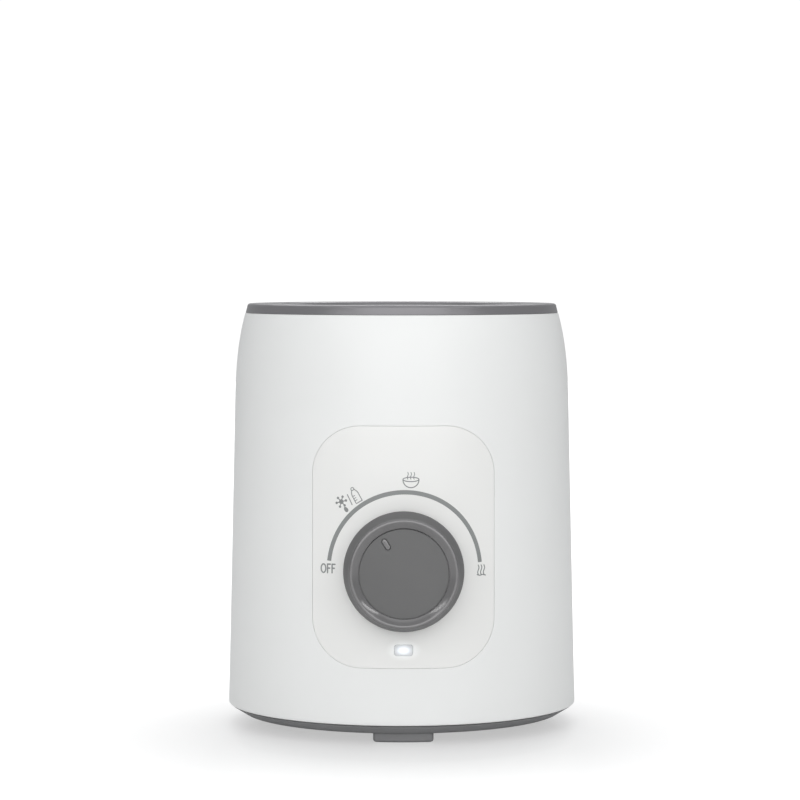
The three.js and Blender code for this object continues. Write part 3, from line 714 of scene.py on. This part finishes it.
def knob_collar():
    """The low collar that closes the gap between the curved panel and the flat back of the knob."""
    outer, inner, top, bottom, edge = 16.4 * MM, 14.8 * MM, 1.6 * MM, -3.4 * MM, 0.3 * MM
    section = [(inner, bottom), (outer, bottom)]
    section += arc((outer - edge, top - edge), edge, 0, 90, 4)
    section += arc((inner + edge, top - edge), edge, 90, 180, 4)
    dress(revolve("knob_collar", section, 128, out_of_front), "white_panel", HOUSING)


def top_ring():
    """The grey ring on the rim, with a softly rounded outer edge and a lip over the chamber."""
    outer, underside = TOP_RING_RADIUS, ring_low.z
    lean, edge, lip = 0.5 * MM, 1.1 * MM, 1.2 * MM
    seat, above_flange, flange = RIM + SEAM, RIM + 2.1 * MM, 49.7 * MM
    lower_edge = 0.12 * MM
    section = [(outer - lower_edge, seat), (outer, seat + lower_edge)]
    section += arc((outer - lean - edge, BODY_TOP - edge), edge, 0, 90, 10)
    section += arc((CHAMBER_RADIUS + lip, BODY_TOP - lip), lip, 90, 180, 10)
    section += [(CHAMBER_RADIUS, above_flange), (flange, above_flange), (flange, seat)]
    ring = revolve("top_ring_visible", section, 256)

    clips = []
    half_width, inside, outside, hook = 6 * MM, 50.2 * MM, 51.4 * MM, 1.2 * MM
    hook_height, root = RIM - 2.9 * MM, seat + 0.5 * MM
    profile = [(inside - hook, hook_height), (inside, underside), (outside, underside),
               (outside, root), (inside, root), (inside, hook_height)]
    for degrees in (45, 135, 225, 315):
        loops = []
        for across in spread(-half_width, half_width, 6):
            flat = turned([(math.sqrt(r * r - across * across), across) for r, _ in profile], degrees)
            loops.append([upright(x, y, z) for (x, y), (_, z) in zip(flat, profile)])
        clips.append(loft(f"ring_clip_{degrees}", loops))
    dress(join("top_ring_visible", [ring] + clips), "grey_satin", HOUSING, "top_ring")


def chamber_liner():
    """The water chamber's wall: straight, with a cove at the floor and a flange under the top ring."""
    wall, ledge, cove, chamfer = 2 * MM, 34 * MM, 2.2 * MM, 0.4 * MM
    flange, flange_thickness, top = 49.4 * MM, 1.5 * MM, RIM + GAP
    section = [(ledge, CHAMBER_FLOOR - wall), (CHAMBER_RADIUS + wall, CHAMBER_FLOOR - wall)]
    section += [(CHAMBER_RADIUS + wall, top), (flange, top), (flange, top + flange_thickness)]
    section += [(CHAMBER_RADIUS, top + flange_thickness)]
    section += [(CHAMBER_RADIUS, z) for z in spread(top, CHAMBER_FLOOR + cove + MM, 20)]
    section += arc((CHAMBER_RADIUS - cove, CHAMBER_FLOOR + cove), cove, 0, -90, 8)
    section += [(ledge + chamfer, CHAMBER_FLOOR), (ledge, CHAMBER_FLOOR - chamfer)]
    dress(revolve("chamber_wall", section, 192), "grey_liner", HOUSING, "chamber_liner")


def heating_plate():
    """The round aluminium hot plate, with a raised crown that the bottle stands on."""
    crown, flange, edge = 33.6 * MM, plate_high.x, 0.5 * MM
    underside, shoulder = 57.5 * MM, 60 * MM
    section = [(0, underside), (flange - edge, underside)]
    section += arc((flange - edge, underside + edge), edge, -90, 0, 4)[1:]
    section += [(flange, shoulder), (crown, shoulder)]
    section += arc((crown - edge, CHAMBER_FLOOR - edge), edge, 0, 90, 5)
    section += [(r, CHAMBER_FLOOR) for r in spread(crown - 3 * MM, 4 * MM, 6)] + [(0, CHAMBER_FLOOR)]
    plate = revolve("hot_plate", section, 192)
    bore, post, post_top = 1.55 * MM, 3 * MM, underside + MM
    section = [(bore, plate_low.z), (post, plate_low.z), (post, post_top), (bore, post_top)]
    posts = [revolve("post", section, 32, upright_at((x, 0))) for x in (-24 * MM, 24 * MM)]
    dress(join("hot_plate", [plate] + posts), "aluminium", HOUSING, "heating_plate")


# ---- base

def foot_outline(margin):
    """Plan of a foot about the +X direction, grown by margin: a curved block with round corners."""
    corner = 1.2 * MM
    half = FOOT_HALF_WIDTH + margin
    inner, outer = FOOT_INNER - margin, FOOT_OUTER + margin

    def along(radius, low, high):
        return [(math.sqrt(radius * radius - y * y), y) for y in spread(low, high, 10)]

    def corner_arc(radius, side, direction):
        edge = math.sqrt((radius - direction * corner) ** 2 - (half - corner) ** 2)
        start = {(1, 1): 0, (-1, 1): 90, (1, -1): -90, (-1, -1): 180}[(direction, side)]
        return arc((edge, side * (half - corner)), corner, start, start + 90, 4)

    straight = half - corner
    outline = corner_arc(outer, -1, 1) + along(outer, -straight, straight)[1:-1]
    outline += corner_arc(outer, 1, 1) + corner_arc(inner, 1, -1)
    return outline + along(inner, straight, -straight)[1:-1] + corner_arc(inner, -1, -1)


def foot(name, degrees):
    """A rubber foot with softly rounded lower edges."""
    low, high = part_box(name)
    edge = 1.0 * MM
    steps = [(-edge * (1 - math.sin(turn)), low.z + edge * (1 - math.cos(turn)))
             for turn in spread(0, math.pi / 2, 6)] + [(0, high.z)]
    loops = [[upright(x, y, z) for x, y in turned(foot_outline(margin), degrees)] for margin, z in steps]
    dress(loft(name + "_pad", loops), "rubber", HOUSING, name)


def label_outline(margin, corner):
    """Plan of the rating label, grown by margin."""
    low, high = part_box("rating_label")
    middle = (0, (low.y + high.y) / 2 - AXIS_Y)
    return rounded_rectangle(high.x + margin, (high.y - low.y) / 2 + margin, corner, middle)


def base_cover():
    """The grey base: sloping skirt, ventilation slots, foot recesses and counterbored screw holes."""
    flat, thick, edge, fillet = 54.4 * MM, 2.2 * MM, 0.9 * MM, 1.5 * MM
    top = BASE_BOTTOM + thick
    skirt = SHELL_BOTTOM - GAP
    rim_inner, rim_outer = 55.3 * MM, 57.1 * MM
    section = [(0, BASE_BOTTOM), (flat - fillet, BASE_BOTTOM), (flat - 0.4 * MM, BASE_BOTTOM + 0.08 * MM)]
    slope_start = (flat + 0.3 * MM, BASE_BOTTOM + 0.3 * MM)
    slope_end = (BODY_RADIUS - edge, skirt - 0.1 * MM)
    section += [between(slope_start, slope_end, t) for t in spread(0, 1, 4)]
    section += [(BODY_RADIUS - 1.2 * edge, skirt), (rim_outer, skirt), (rim_outer, base_high.z)]
    section += [(rim_inner, base_high.z), (rim_inner, top + fillet), (rim_inner - fillet, top), (0, top)]
    cover = revolve("base_tray", section, 256)

    slot_size = (1.5 * MM, 8 * MM, 1.45 * MM)  # half width, half length, corner
    slot_pitch, slot_row = 9 * MM, 14 * MM
    foot_recess, counterbore, bore_depth = 0.8 * MM, 3.4 * MM, 3.5 * MM

    def cutter(name, outline, end):
        return prism(name, outline, BASE_BOTTOM - MM, end)

    cutters = []
    for column in range(-3, 4):
        for side in (-1, 1):
            middle = (column * slot_pitch, side * slot_row)
            cutters.append(cutter("slot_cutter", rounded_rectangle(*slot_size, middle), top + MM))
    for degrees in FOOT_ANGLES.values():
        outline = turned(foot_outline(GAP), degrees)
        cutters.append(cutter("foot_cutter", outline, BASE_BOTTOM + foot_recess))
    for degrees in BASE_SCREW_ANGLES:
        middle = turned([(SCREW_CIRCLE, 0)], degrees)[0]
        cutters.append(cutter("bore_cutter", circle(middle, counterbore, 48), BASE_BOTTOM + bore_depth))
    cutters.append(cutter("label_cutter", label_outline(GAP, 1.3 * MM), BASE_BOTTOM + 2 * GAP))
    carve(cover, cutters)
    dress(cover, "base_grey", HOUSING, "base_cover")


def base_screw(number, degrees):
    """A pan-head screw with a cross recess."""
    name = f"base_screw_{number}"
    low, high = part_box(name)
    place = upright_at(turned([(SCREW_CIRCLE, 0)], degrees)[0])
    head, shank, crown, head_height = 2.9 * MM, 1.5 * MM, 1.2 * MM, 2.1 * MM
    seat = low.z + head_height
    section = [(0, low.z)]
    for turn in spread(0.15, math.pi / 2, 7):
        section.append((head * math.sin(turn), low.z + crown * (1 - math.cos(turn))))
    section += [(head, seat), (shank, seat), (shank, high.z - shank), (0, high.z)]
    screw = revolve(f"{name}_head", section, 40, place)
    arm, half = 1.5 * MM, 0.35 * MM
    cross = []
    for quarter in (0, 90, 180, 270):
        cross += turned([(half, half), (half, arm), (-half, arm)], quarter)
    carve(screw, [prism("cross_cutter", cross, low.z - MM, low.z + crown, place)])
    dress(screw, "steel", HOUSING, name)


def rating_label():
    """A blank silver label with round corners."""
    low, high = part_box("rating_label")
    face, outline = label_outline(-0.1 * MM, 1.1 * MM), label_outline(0, 1.2 * MM)
    steps = ((face, low.z), (outline, low.z + 0.08 * MM), (outline, high.z))
    loops = [[upright(x, y, z) for x, y in points] for points, z in steps]
    dress(loft("blank_label", loops), "label_silver", HOUSING, "rating_label")


def cord_gland():
    """The rubber gland at the back, with a rounded collar round its bore."""
    bore, neck, edge = 3.6 * MM, 5 * MM, 0.8 * MM
    inner, outer = gland_low.y - AXIS_Y, gland_high.y - AXIS_Y
    flange, collar = inner + 2.1 * MM, BODY_RADIUS + 0.1 * MM
    section = [(bore, inner), (GLAND_RADIUS, inner), (GLAND_RADIUS, flange), (neck, flange)]
    section += [(neck, collar), (GLAND_RADIUS, collar)]
    section += arc((GLAND_RADIUS - edge, outer - edge), edge, 0, 90, 6)
    section += arc((bore + edge, outer - edge), edge, 90, 180, 6)
    dress(revolve("cord_grommet", section, 96, out_of_back), "rubber", HOUSING, "cord_gland")


# ---- knob and status light

def knob_ring():
    """The knob's body: curved side, round crest, inner slope down to the cap, and the spindle's hub."""
    front = AXIS_Y - PANEL_RADIUS - KNOB_FRONT
    cap_face = front - 1.4 * MM
    web = cap_face - 1.3 * MM
    back = web - 1.5 * MM
    hub, hub_back, bore = 5.4 * MM, 4.3 * MM, 3.3 * MM
    crest, outer_round, inner_round = KNOB_RADIUS - 2.65 * MM, 0.95 * MM, 0.8 * MM
    seat = CAP_RADIUS + GAP
    recess, recess_mouth = 15.2 * MM, 16.8 * MM
    # The side's profile as (inset, height) in mm.
    side = [(1.0, 0.9), (0.65, 1.1), (0.35, 1.6), (0.1, 2.6), (0, 3.8), (0.1, 4.8), (0.35, 5.8)]
    section = [(17.6 * MM, 0.9 * MM)]
    section += [(KNOB_RADIUS - inset * MM, height * MM) for inset, height in side]
    section += arc((crest, front - outer_round), outer_round, 13, 90, 12)
    section += arc((crest, front - inner_round), inner_round, 90, 120, 8)[1:]
    section += [(seat + 0.15 * MM, front - 0.93 * MM), (seat, front - 1.08 * MM)]
    section += [(seat, web), (bore, web), (bore, hub_back), (hub, hub_back)]
    section += [(hub, back), (recess, back), (recess_mouth, back - (recess_mouth - recess))]
    dress(revolve("knob_body", section, 256, out_of_front), "grey_gloss", KNOB, "knob_ring")


def capsule(length, width):
    """Outline of the pointer mark, along its own angle on the knob."""
    reach = (length - width) / 2
    points = arc((0, POINTER_DISTANCE + reach), width / 2, 0, 180, 12)
    points += arc((0, POINTER_DISTANCE - reach), width / 2, 180, 360, 12)
    return turned(points, math.degrees(POINTER_ANGLE))


def knob_cap():
    """The matte disc in the knob, with a groove round its pointer mark."""
    low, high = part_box("knob_cap")
    face, back, edge = AXIS_Y - PANEL_RADIUS - low.y, AXIS_Y - PANEL_RADIUS - high.y, 0.2 * MM
    section = [(0, back), (CAP_RADIUS, back)]
    section += arc((CAP_RADIUS - edge, face - edge), edge, 0, 90, 4) + [(0, face)]
    cap = revolve("knob_disc", section, 192, out_of_front)
    groove = capsule(4.3 * MM, 2.1 * MM)
    carve(cap, [prism("pointer_cutter", groove, face - 0.5 * MM, face + MM, out_of_front)])
    dress(cap, "grey_matte", KNOB, "knob_cap")


def knob_pointer():
    """The raised pointer mark."""
    face = AXIS_Y - PANEL_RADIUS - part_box("knob_pointer")[0].y
    length, width = 3.7 * MM, 1.5 * MM
    loops = []
    for inset, depth in ((0, 0.45 * MM), (0, 0.15 * MM), (0.08 * MM, 0.03 * MM), (0.25 * MM, 0)):
        outline = capsule(length - 2 * inset, width - 2 * inset)
        loops.append([out_of_front(x, y, face - depth) for x, y in outline])
    dress(loft("pointer_mark", loops), "grey_gloss", KNOB, "knob_pointer")


def indicator_lens():
    """The status light's window, flush with the panel, on its light pipe."""
    outline = rounded_rectangle(*lens_size(0)[:3], centre=(0, LENS_MIDDLE), steps=10)

    def ring(margin):
        return crossings(LENS_MIDDLE, outline, lens_size(margin))

    sunk, edge, flange = 0.05 * MM, 0.15 * MM, 1.3 * MM
    front, back = AXIS_Y - 56.1 * MM, AXIS_Y - 55 * MM  # of the flange
    loops = [[on_front(*between((0, LENS_MIDDLE), point, share), sunk) for point in ring(-edge)]
             for share in (0.15, 0.4, 0.7, 1)]
    loops.append([on_front(x, z, sunk + edge) for x, z in ring(0)])
    for margin, y in ((0, front), (flange, front), (flange, back), (0, back), (0, lens_high.y)):
        loops.append([(x, y, z) for x, z in ring(margin)])
    dress(loft("status_window", loops), "clear_lens", HOUSING, "indicator_lens")


# ---- the dial printed on the panel
#
# Places on the dial are (across, up) in millimetres, measured along the panel's surface.

INK_ABOVE = 0.02 * MM
INK_BELOW = 0.04 * MM
DIAL_SHIFT = (0.38, -0.12)  # the print's middle from the knob's axis
STROKE_STEP = 0.25
THINNEST = 0.02


def on_dial(across, up, lift):
    """A point of the print, lifted above the panel's surface."""
    z = KNOB_HEIGHT + (up + DIAL_SHIFT[1]) * MM
    angle = (across + DIAL_SHIFT[0]) * MM / PANEL_RADIUS
    radius = shell_radius(z) + lift
    return upright(radius * math.sin(angle), -radius * math.cos(angle), z)


def ribbon(points, half_widths, closed=False):
    """A printed line through points, as a thin closed solid on the panel's surface."""
    count = len(points)
    loops = []
    for i, (x, y) in enumerate(points):
        before = points[i - 1] if i or closed else points[i]
        after = points[(i + 1) % count] if i < count - 1 or closed else points[i]
        dx, dy = after[0] - before[0], after[1] - before[1]
        length = math.hypot(dx, dy)
        nx, ny = -dy / length, dx / length
        half = half_widths[i] if isinstance(half_widths, list) else half_widths
        left, right = (x + nx * half, y + ny * half), (x - nx * half, y - ny * half)
        loops.append([on_dial(*left, INK_ABOVE), on_dial(*right, INK_ABOVE),
                      on_dial(*right, -INK_BELOW), on_dial(*left, -INK_BELOW)])
    return loft("ink", loops, capped=not closed)


def stroke(points, width):
    """A printed line with round ends."""
    fine = []
    for a, b in zip(points, points[1:]):
        pieces = max(1, round(math.dist(a, b) / STROKE_STEP))
        fine += [between(a, b, k / pieces) for k in range(pieces)]
    fine.append(points[-1])
    half = width / 2

    def cap(tip, inner):
        length = math.dist(tip, inner)
        ux, uy = (tip[0] - inner[0]) / length, (tip[1] - inner[1]) / length
        return [((tip[0] + ux * half * t, tip[1] + uy * half * t), half * math.sqrt(1.02 - t * t))
                for t in (1, 0.85, 0.6, 0.3)]

    chain = cap(fine[0], fine[1]) + [(point, half) for point in fine] + cap(fine[-1], fine[-2])[::-1]
    return ribbon([point for point, _ in chain], [half_width for _, half_width in chain])


def oval(centre, half_width, half_height, start, end, count):
    """Points round an oval, angles in degrees."""
    angles = [math.radians(a) for a in spread(start, end, count)]
    return [(centre[0] + half_width * math.cos(a), centre[1] + half_height * math.sin(a)) for a in angles]


def wave(x, low, high, sway):
    """An upright wavy line."""
    return [(x + sway * math.sin(2 * math.pi * t), lerp(low, high, t)) for t in spread(0, 1, 12)]


def dial_scale():
    """The long arc over the knob."""
    radius, half_width = 25.8, 0.72
    return [ribbon(oval((0, 0), radius, radius, 5.2, 173.6, 120), half_width)]


def off_mark():
    """The word OFF."""
    middle, up, height, width = -26.0, 0.32, 3.0, 0.48
    reach = height / 2 - 0.1
    top, bottom = up + reach, up - reach
    marks = [ribbon(oval((middle - 1.7, up), 0.86, reach, 0, 354, 39), width / 2, closed=True)]
    for stem in (middle - 0.2, middle + 1.45):
        marks.append(stroke([(stem, bottom), (stem, top)], width))
        marks.append(stroke([(stem, top), (stem + 1.0, top)], width))
        marks.append(stroke([(stem, up + 0.1), (stem + 0.8, up + 0.1)], width))
    return marks


def defrost_mark():
    """A snowflake that melts into a drop, and a slash."""
    centre, arm, dot = (-21.45, 22.45), 1.7, 0.42
    marks = [blob(centre, 0.8, 0.8, 90)]
    for degrees in range(15, 375, 60):
        x, y = turned([(arm, 0)], degrees)[0]
        tip = (centre[0] + x, centre[1] + y)
        marks.append(stroke([centre, tip], 0.34))
        marks.append(blob(tip, dot, dot, degrees))
    marks.append(blob((-19.75, 19.95), 0.78, 0.98, 128, tip=0.35))
    marks.append(stroke([(-19.3, 24.8), (-17.65, 21.55)], 0.32))
    return marks


def blob(centre, half_width, half_length, degrees, tip=0.0):
    """A filled round or drop shape: a ribbon whose width swells and shrinks."""
    points, widths = [], []
    for angle in spread(0.12, math.pi - 0.12, 14):
        along = -half_length * math.cos(angle)
        x, y = turned([(along, 0)], degrees)[0]
        points.append((centre[0] + x, centre[1] + y))
        taper = 1 - tip * (1 - math.cos(angle)) / 2
        widths.append(max(THINNEST, half_width * math.sin(angle) * taper))
    return ribbon(points, widths)


def milk_mark():
    """A feeding bottle, tilted along the dial."""
    base, tilt = (-15.2, 22.5), 30

    def at(across, along):
        x, y = turned([(across, along)], tilt)[0]
        return base[0] + x, base[1] + y

    half, nipple = 1.15, 0.5
    body = [(half, 0), (half, 2.9), (1.0, 3.5), (0.7, 4.1), (0.5, 4.5)]
    teat = oval((0, 4.8), nipple, 0.55, -35, 215, 12)
    outline = body + teat + [(-x, y) for x, y in reversed(body)]
    marks = [stroke([at(*p) for p in outline + [outline[0]]], 0.3)]
    marks.append(stroke([at(-0.5, 4.4), at(0.5, 4.4)], 0.26))
    marks += [stroke([at(-half, level), at(-0.3, level)], 0.26) for level in (1.0, 1.8, 2.6)]
    return marks


def food_mark():
    """A bowl with three wisps of steam."""
    middle, rim, half_width = 2.07, 30.0, 2.65
    marks = [ribbon(oval((middle, rim), half_width, 0.72, 0, 352, 44), 0.16, closed=True)]
    marks.append(stroke(oval((middle, rim - 0.1), half_width, 2.6, 180, 360, 24), 0.34))
    for offset in (-1.05, 0, 1.05):
        marks.append(stroke(wave(middle + offset, rim + 0.1, rim + 2.3, -0.16), 0.26))
    return marks


def steam_mark():
    """Three hot wavy lines over a ground line."""
    middle, low, high = 26.15, -1.8, 1.35
    marks = [stroke(wave(middle + offset, low, high, -0.24), 0.36) for offset in (-1.05, 0, 1.05)]
    ground = [(middle + x, low - 0.1 + 0.12 * math.sin(3 * x)) for x in spread(-1.5, 1.6, 16)]
    marks.append(stroke(ground, 0.34))
    return marks


def dial_print():
    """All the marks of the dial, as one piece."""
    marks = dial_scale() + off_mark() + defrost_mark() + milk_mark() + food_mark() + steam_mark()
    ink = join("dial_print", marks)
    ink.data.materials.append(DIAL_INK.material)
    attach(ink, HOUSING)


# ---- pieces kept from CAD

def dress_cad_nodes():
    """The inner pieces keep their CAD shape and get their slot's material."""
    for part in frame["record"]["subparts"]:
        if part["node"] in replaced_nodes:
            continue
        node = frame["nodes"][part["node"]]
        node.data.materials.clear()
        node.data.materials.append(MATERIALS[part["material_slot"]].material)


# ---- camera, light and floor

CAMERA_DISTANCE = 1.04285  # from the warmer's axis
CAMERA_HEIGHT = 0.1584
CAMERA_PITCH = math.radians(2.603)
CAMERA_AZIMUTH = math.radians(-0.58)
CAMERA_YAW = math.radians(0.034)
SENSOR = 36.0
FOCAL_LENGTH = 135.6
FAR_CLIP = 50

MIDDLE = (0, AXIS_Y, 0.08)
SOFTBOXES = (  # name, place, aim, size, watts
    ("front_light", (0, -1.8, 0.72), MIDDLE, (2.6, 1.4), 19.3),
    ("left_light", (-0.8, -0.72, 0.74), MIDDLE, (0.1, 0.5), 0.6),
    ("right_light", (0.8, -0.72, 0.74), MIDDLE, (0.1, 0.5), 0.6),
    ("top_light", (0, 0.1, 1.5), (0, 0.05, 0), (2.2, 2.2), 10),
    ("back_light", (0, 1.4, 1.25), MIDDLE, (1.4, 0.6), 8),
)
SEEN_WORLD = ((1, 1, 1, 1), 1.05)  # colour and strength of the background
LIGHTING_WORLD = ((0.97, 0.985, 1, 1), 0.415)
FLOOR_HALF = 3.0
# A painted soft shadow on the floor round the warmer, its middle shifted 35 mm towards the front.
PAINTED_SHADOW_MIDDLE = (0, AXIS_Y - 0.035, 0)
PAINTED_SHADOW_START = 0.055  # the floor's painted shadow is at its darkest this near its middle
PAINTED_SHADOW_END = 0.2


def camera():
    data = bpy.data.cameras.new("camera")
    data.sensor_width = SENSOR
    data.lens = FOCAL_LENGTH
    data.clip_end = FAR_CLIP
    obj = add_object("camera", data)
    obj.location = (CAMERA_DISTANCE * math.sin(CAMERA_AZIMUTH),
                    AXIS_Y - CAMERA_DISTANCE * math.cos(CAMERA_AZIMUTH), CAMERA_HEIGHT)
    obj.rotation_euler = (math.pi / 2 - CAMERA_PITCH, 0, CAMERA_AZIMUTH + CAMERA_YAW)
    bpy.context.scene.camera = obj


def softbox(name, location, target, size, power):
    data = bpy.data.lights.new(name, "AREA")
    data.shape = "RECTANGLE"
    data.size, data.size_y = size
    data.energy = power
    obj = add_object(name, data)
    obj.location = location
    obj.rotation_euler = (Vector(target) - Vector(location)).to_track_quat("-Z", "Y").to_euler()


def world():
    """A white background for the camera, and a weaker, slightly cooler one that lights the scene."""
    scene = bpy.context.scene
    scene.view_settings.view_transform = "Standard"
    scene.world = bpy.data.worlds.new("studio")
    scene.world.use_nodes = True
    tree = scene.world.node_tree
    mix = tree.nodes.new("ShaderNodeMixShader")
    rays = tree.nodes.new("ShaderNodeLightPath")
    tree.links.new(rays.outputs["Is Camera Ray"], mix.inputs["Fac"])
    backgrounds = (tree.nodes.new("ShaderNodeBackground"), tree.nodes["Background"])
    for slot, (node, (colour, strength)) in enumerate(zip(backgrounds, (LIGHTING_WORLD, SEEN_WORLD)), 1):
        node.inputs["Color"].default_value = colour
        node.inputs["Strength"].default_value = strength
        tree.links.new(node.outputs["Background"], mix.inputs[slot])
    tree.links.new(mix.outputs["Shader"], tree.nodes["World Output"].inputs["Surface"])


def floor():
    """A pale floor that the camera sees fade into the background's white. Its glow seen by the camera is
    weaker near the warmer: a painted soft shadow.
    """
    half = FLOOR_HALF
    mesh = bpy.data.meshes.new("studio_floor")
    corners = [(-half, -half, 0), (half, -half, 0), (half, half, 0), (-half, half, 0)]
    mesh.from_pydata(corners, [], [(0, 1, 2, 3)])
    nodes = Nodes("floor_white")
    seen = nodes.add("ShaderNodeLightPath").outputs["Is Camera Ray"]
    # Painted shadow: the floor's glow rises from half strength near the warmer to full strength far away.
    glow_with_painted_shadow = nodes.remap(nodes.distance(PAINTED_SHADOW_MIDDLE), PAINTED_SHADOW_START, PAINTED_SHADOW_END, 0.5, 1.0)
    nodes.set(Base_Color=nodes.blend(seen, (0.8, 0.8, 0.8), (0.32, 0.32, 0.32)),
              Roughness=nodes.remap(nodes.noise(12, 2), 0.3, 0.7, 0.32, 0.38),
              Emission_Strength=nodes.math("MULTIPLY", glow_with_painted_shadow, seen), Emission_Color=(1, 1, 1, 1))
    mesh.materials.append(nodes.material)
    add_object("studio_floor", mesh)


# ---- the whole

outer_shell()
front_panel()
knob_collar()
top_ring()
chamber_liner()
heating_plate()
base_cover()
for foot_name, foot_degrees in FOOT_ANGLES.items():
    foot(foot_name, foot_degrees)
for screw_number, screw_degrees in enumerate(BASE_SCREW_ANGLES, 1):
    base_screw(screw_number, screw_degrees)
rating_label()
cord_gland()
knob_ring()
knob_cap()
knob_pointer()
indicator_lens()
dial_print()
dress_cad_nodes()

camera()
world()
for box in SOFTBOXES:
    softbox(*box)
floor()
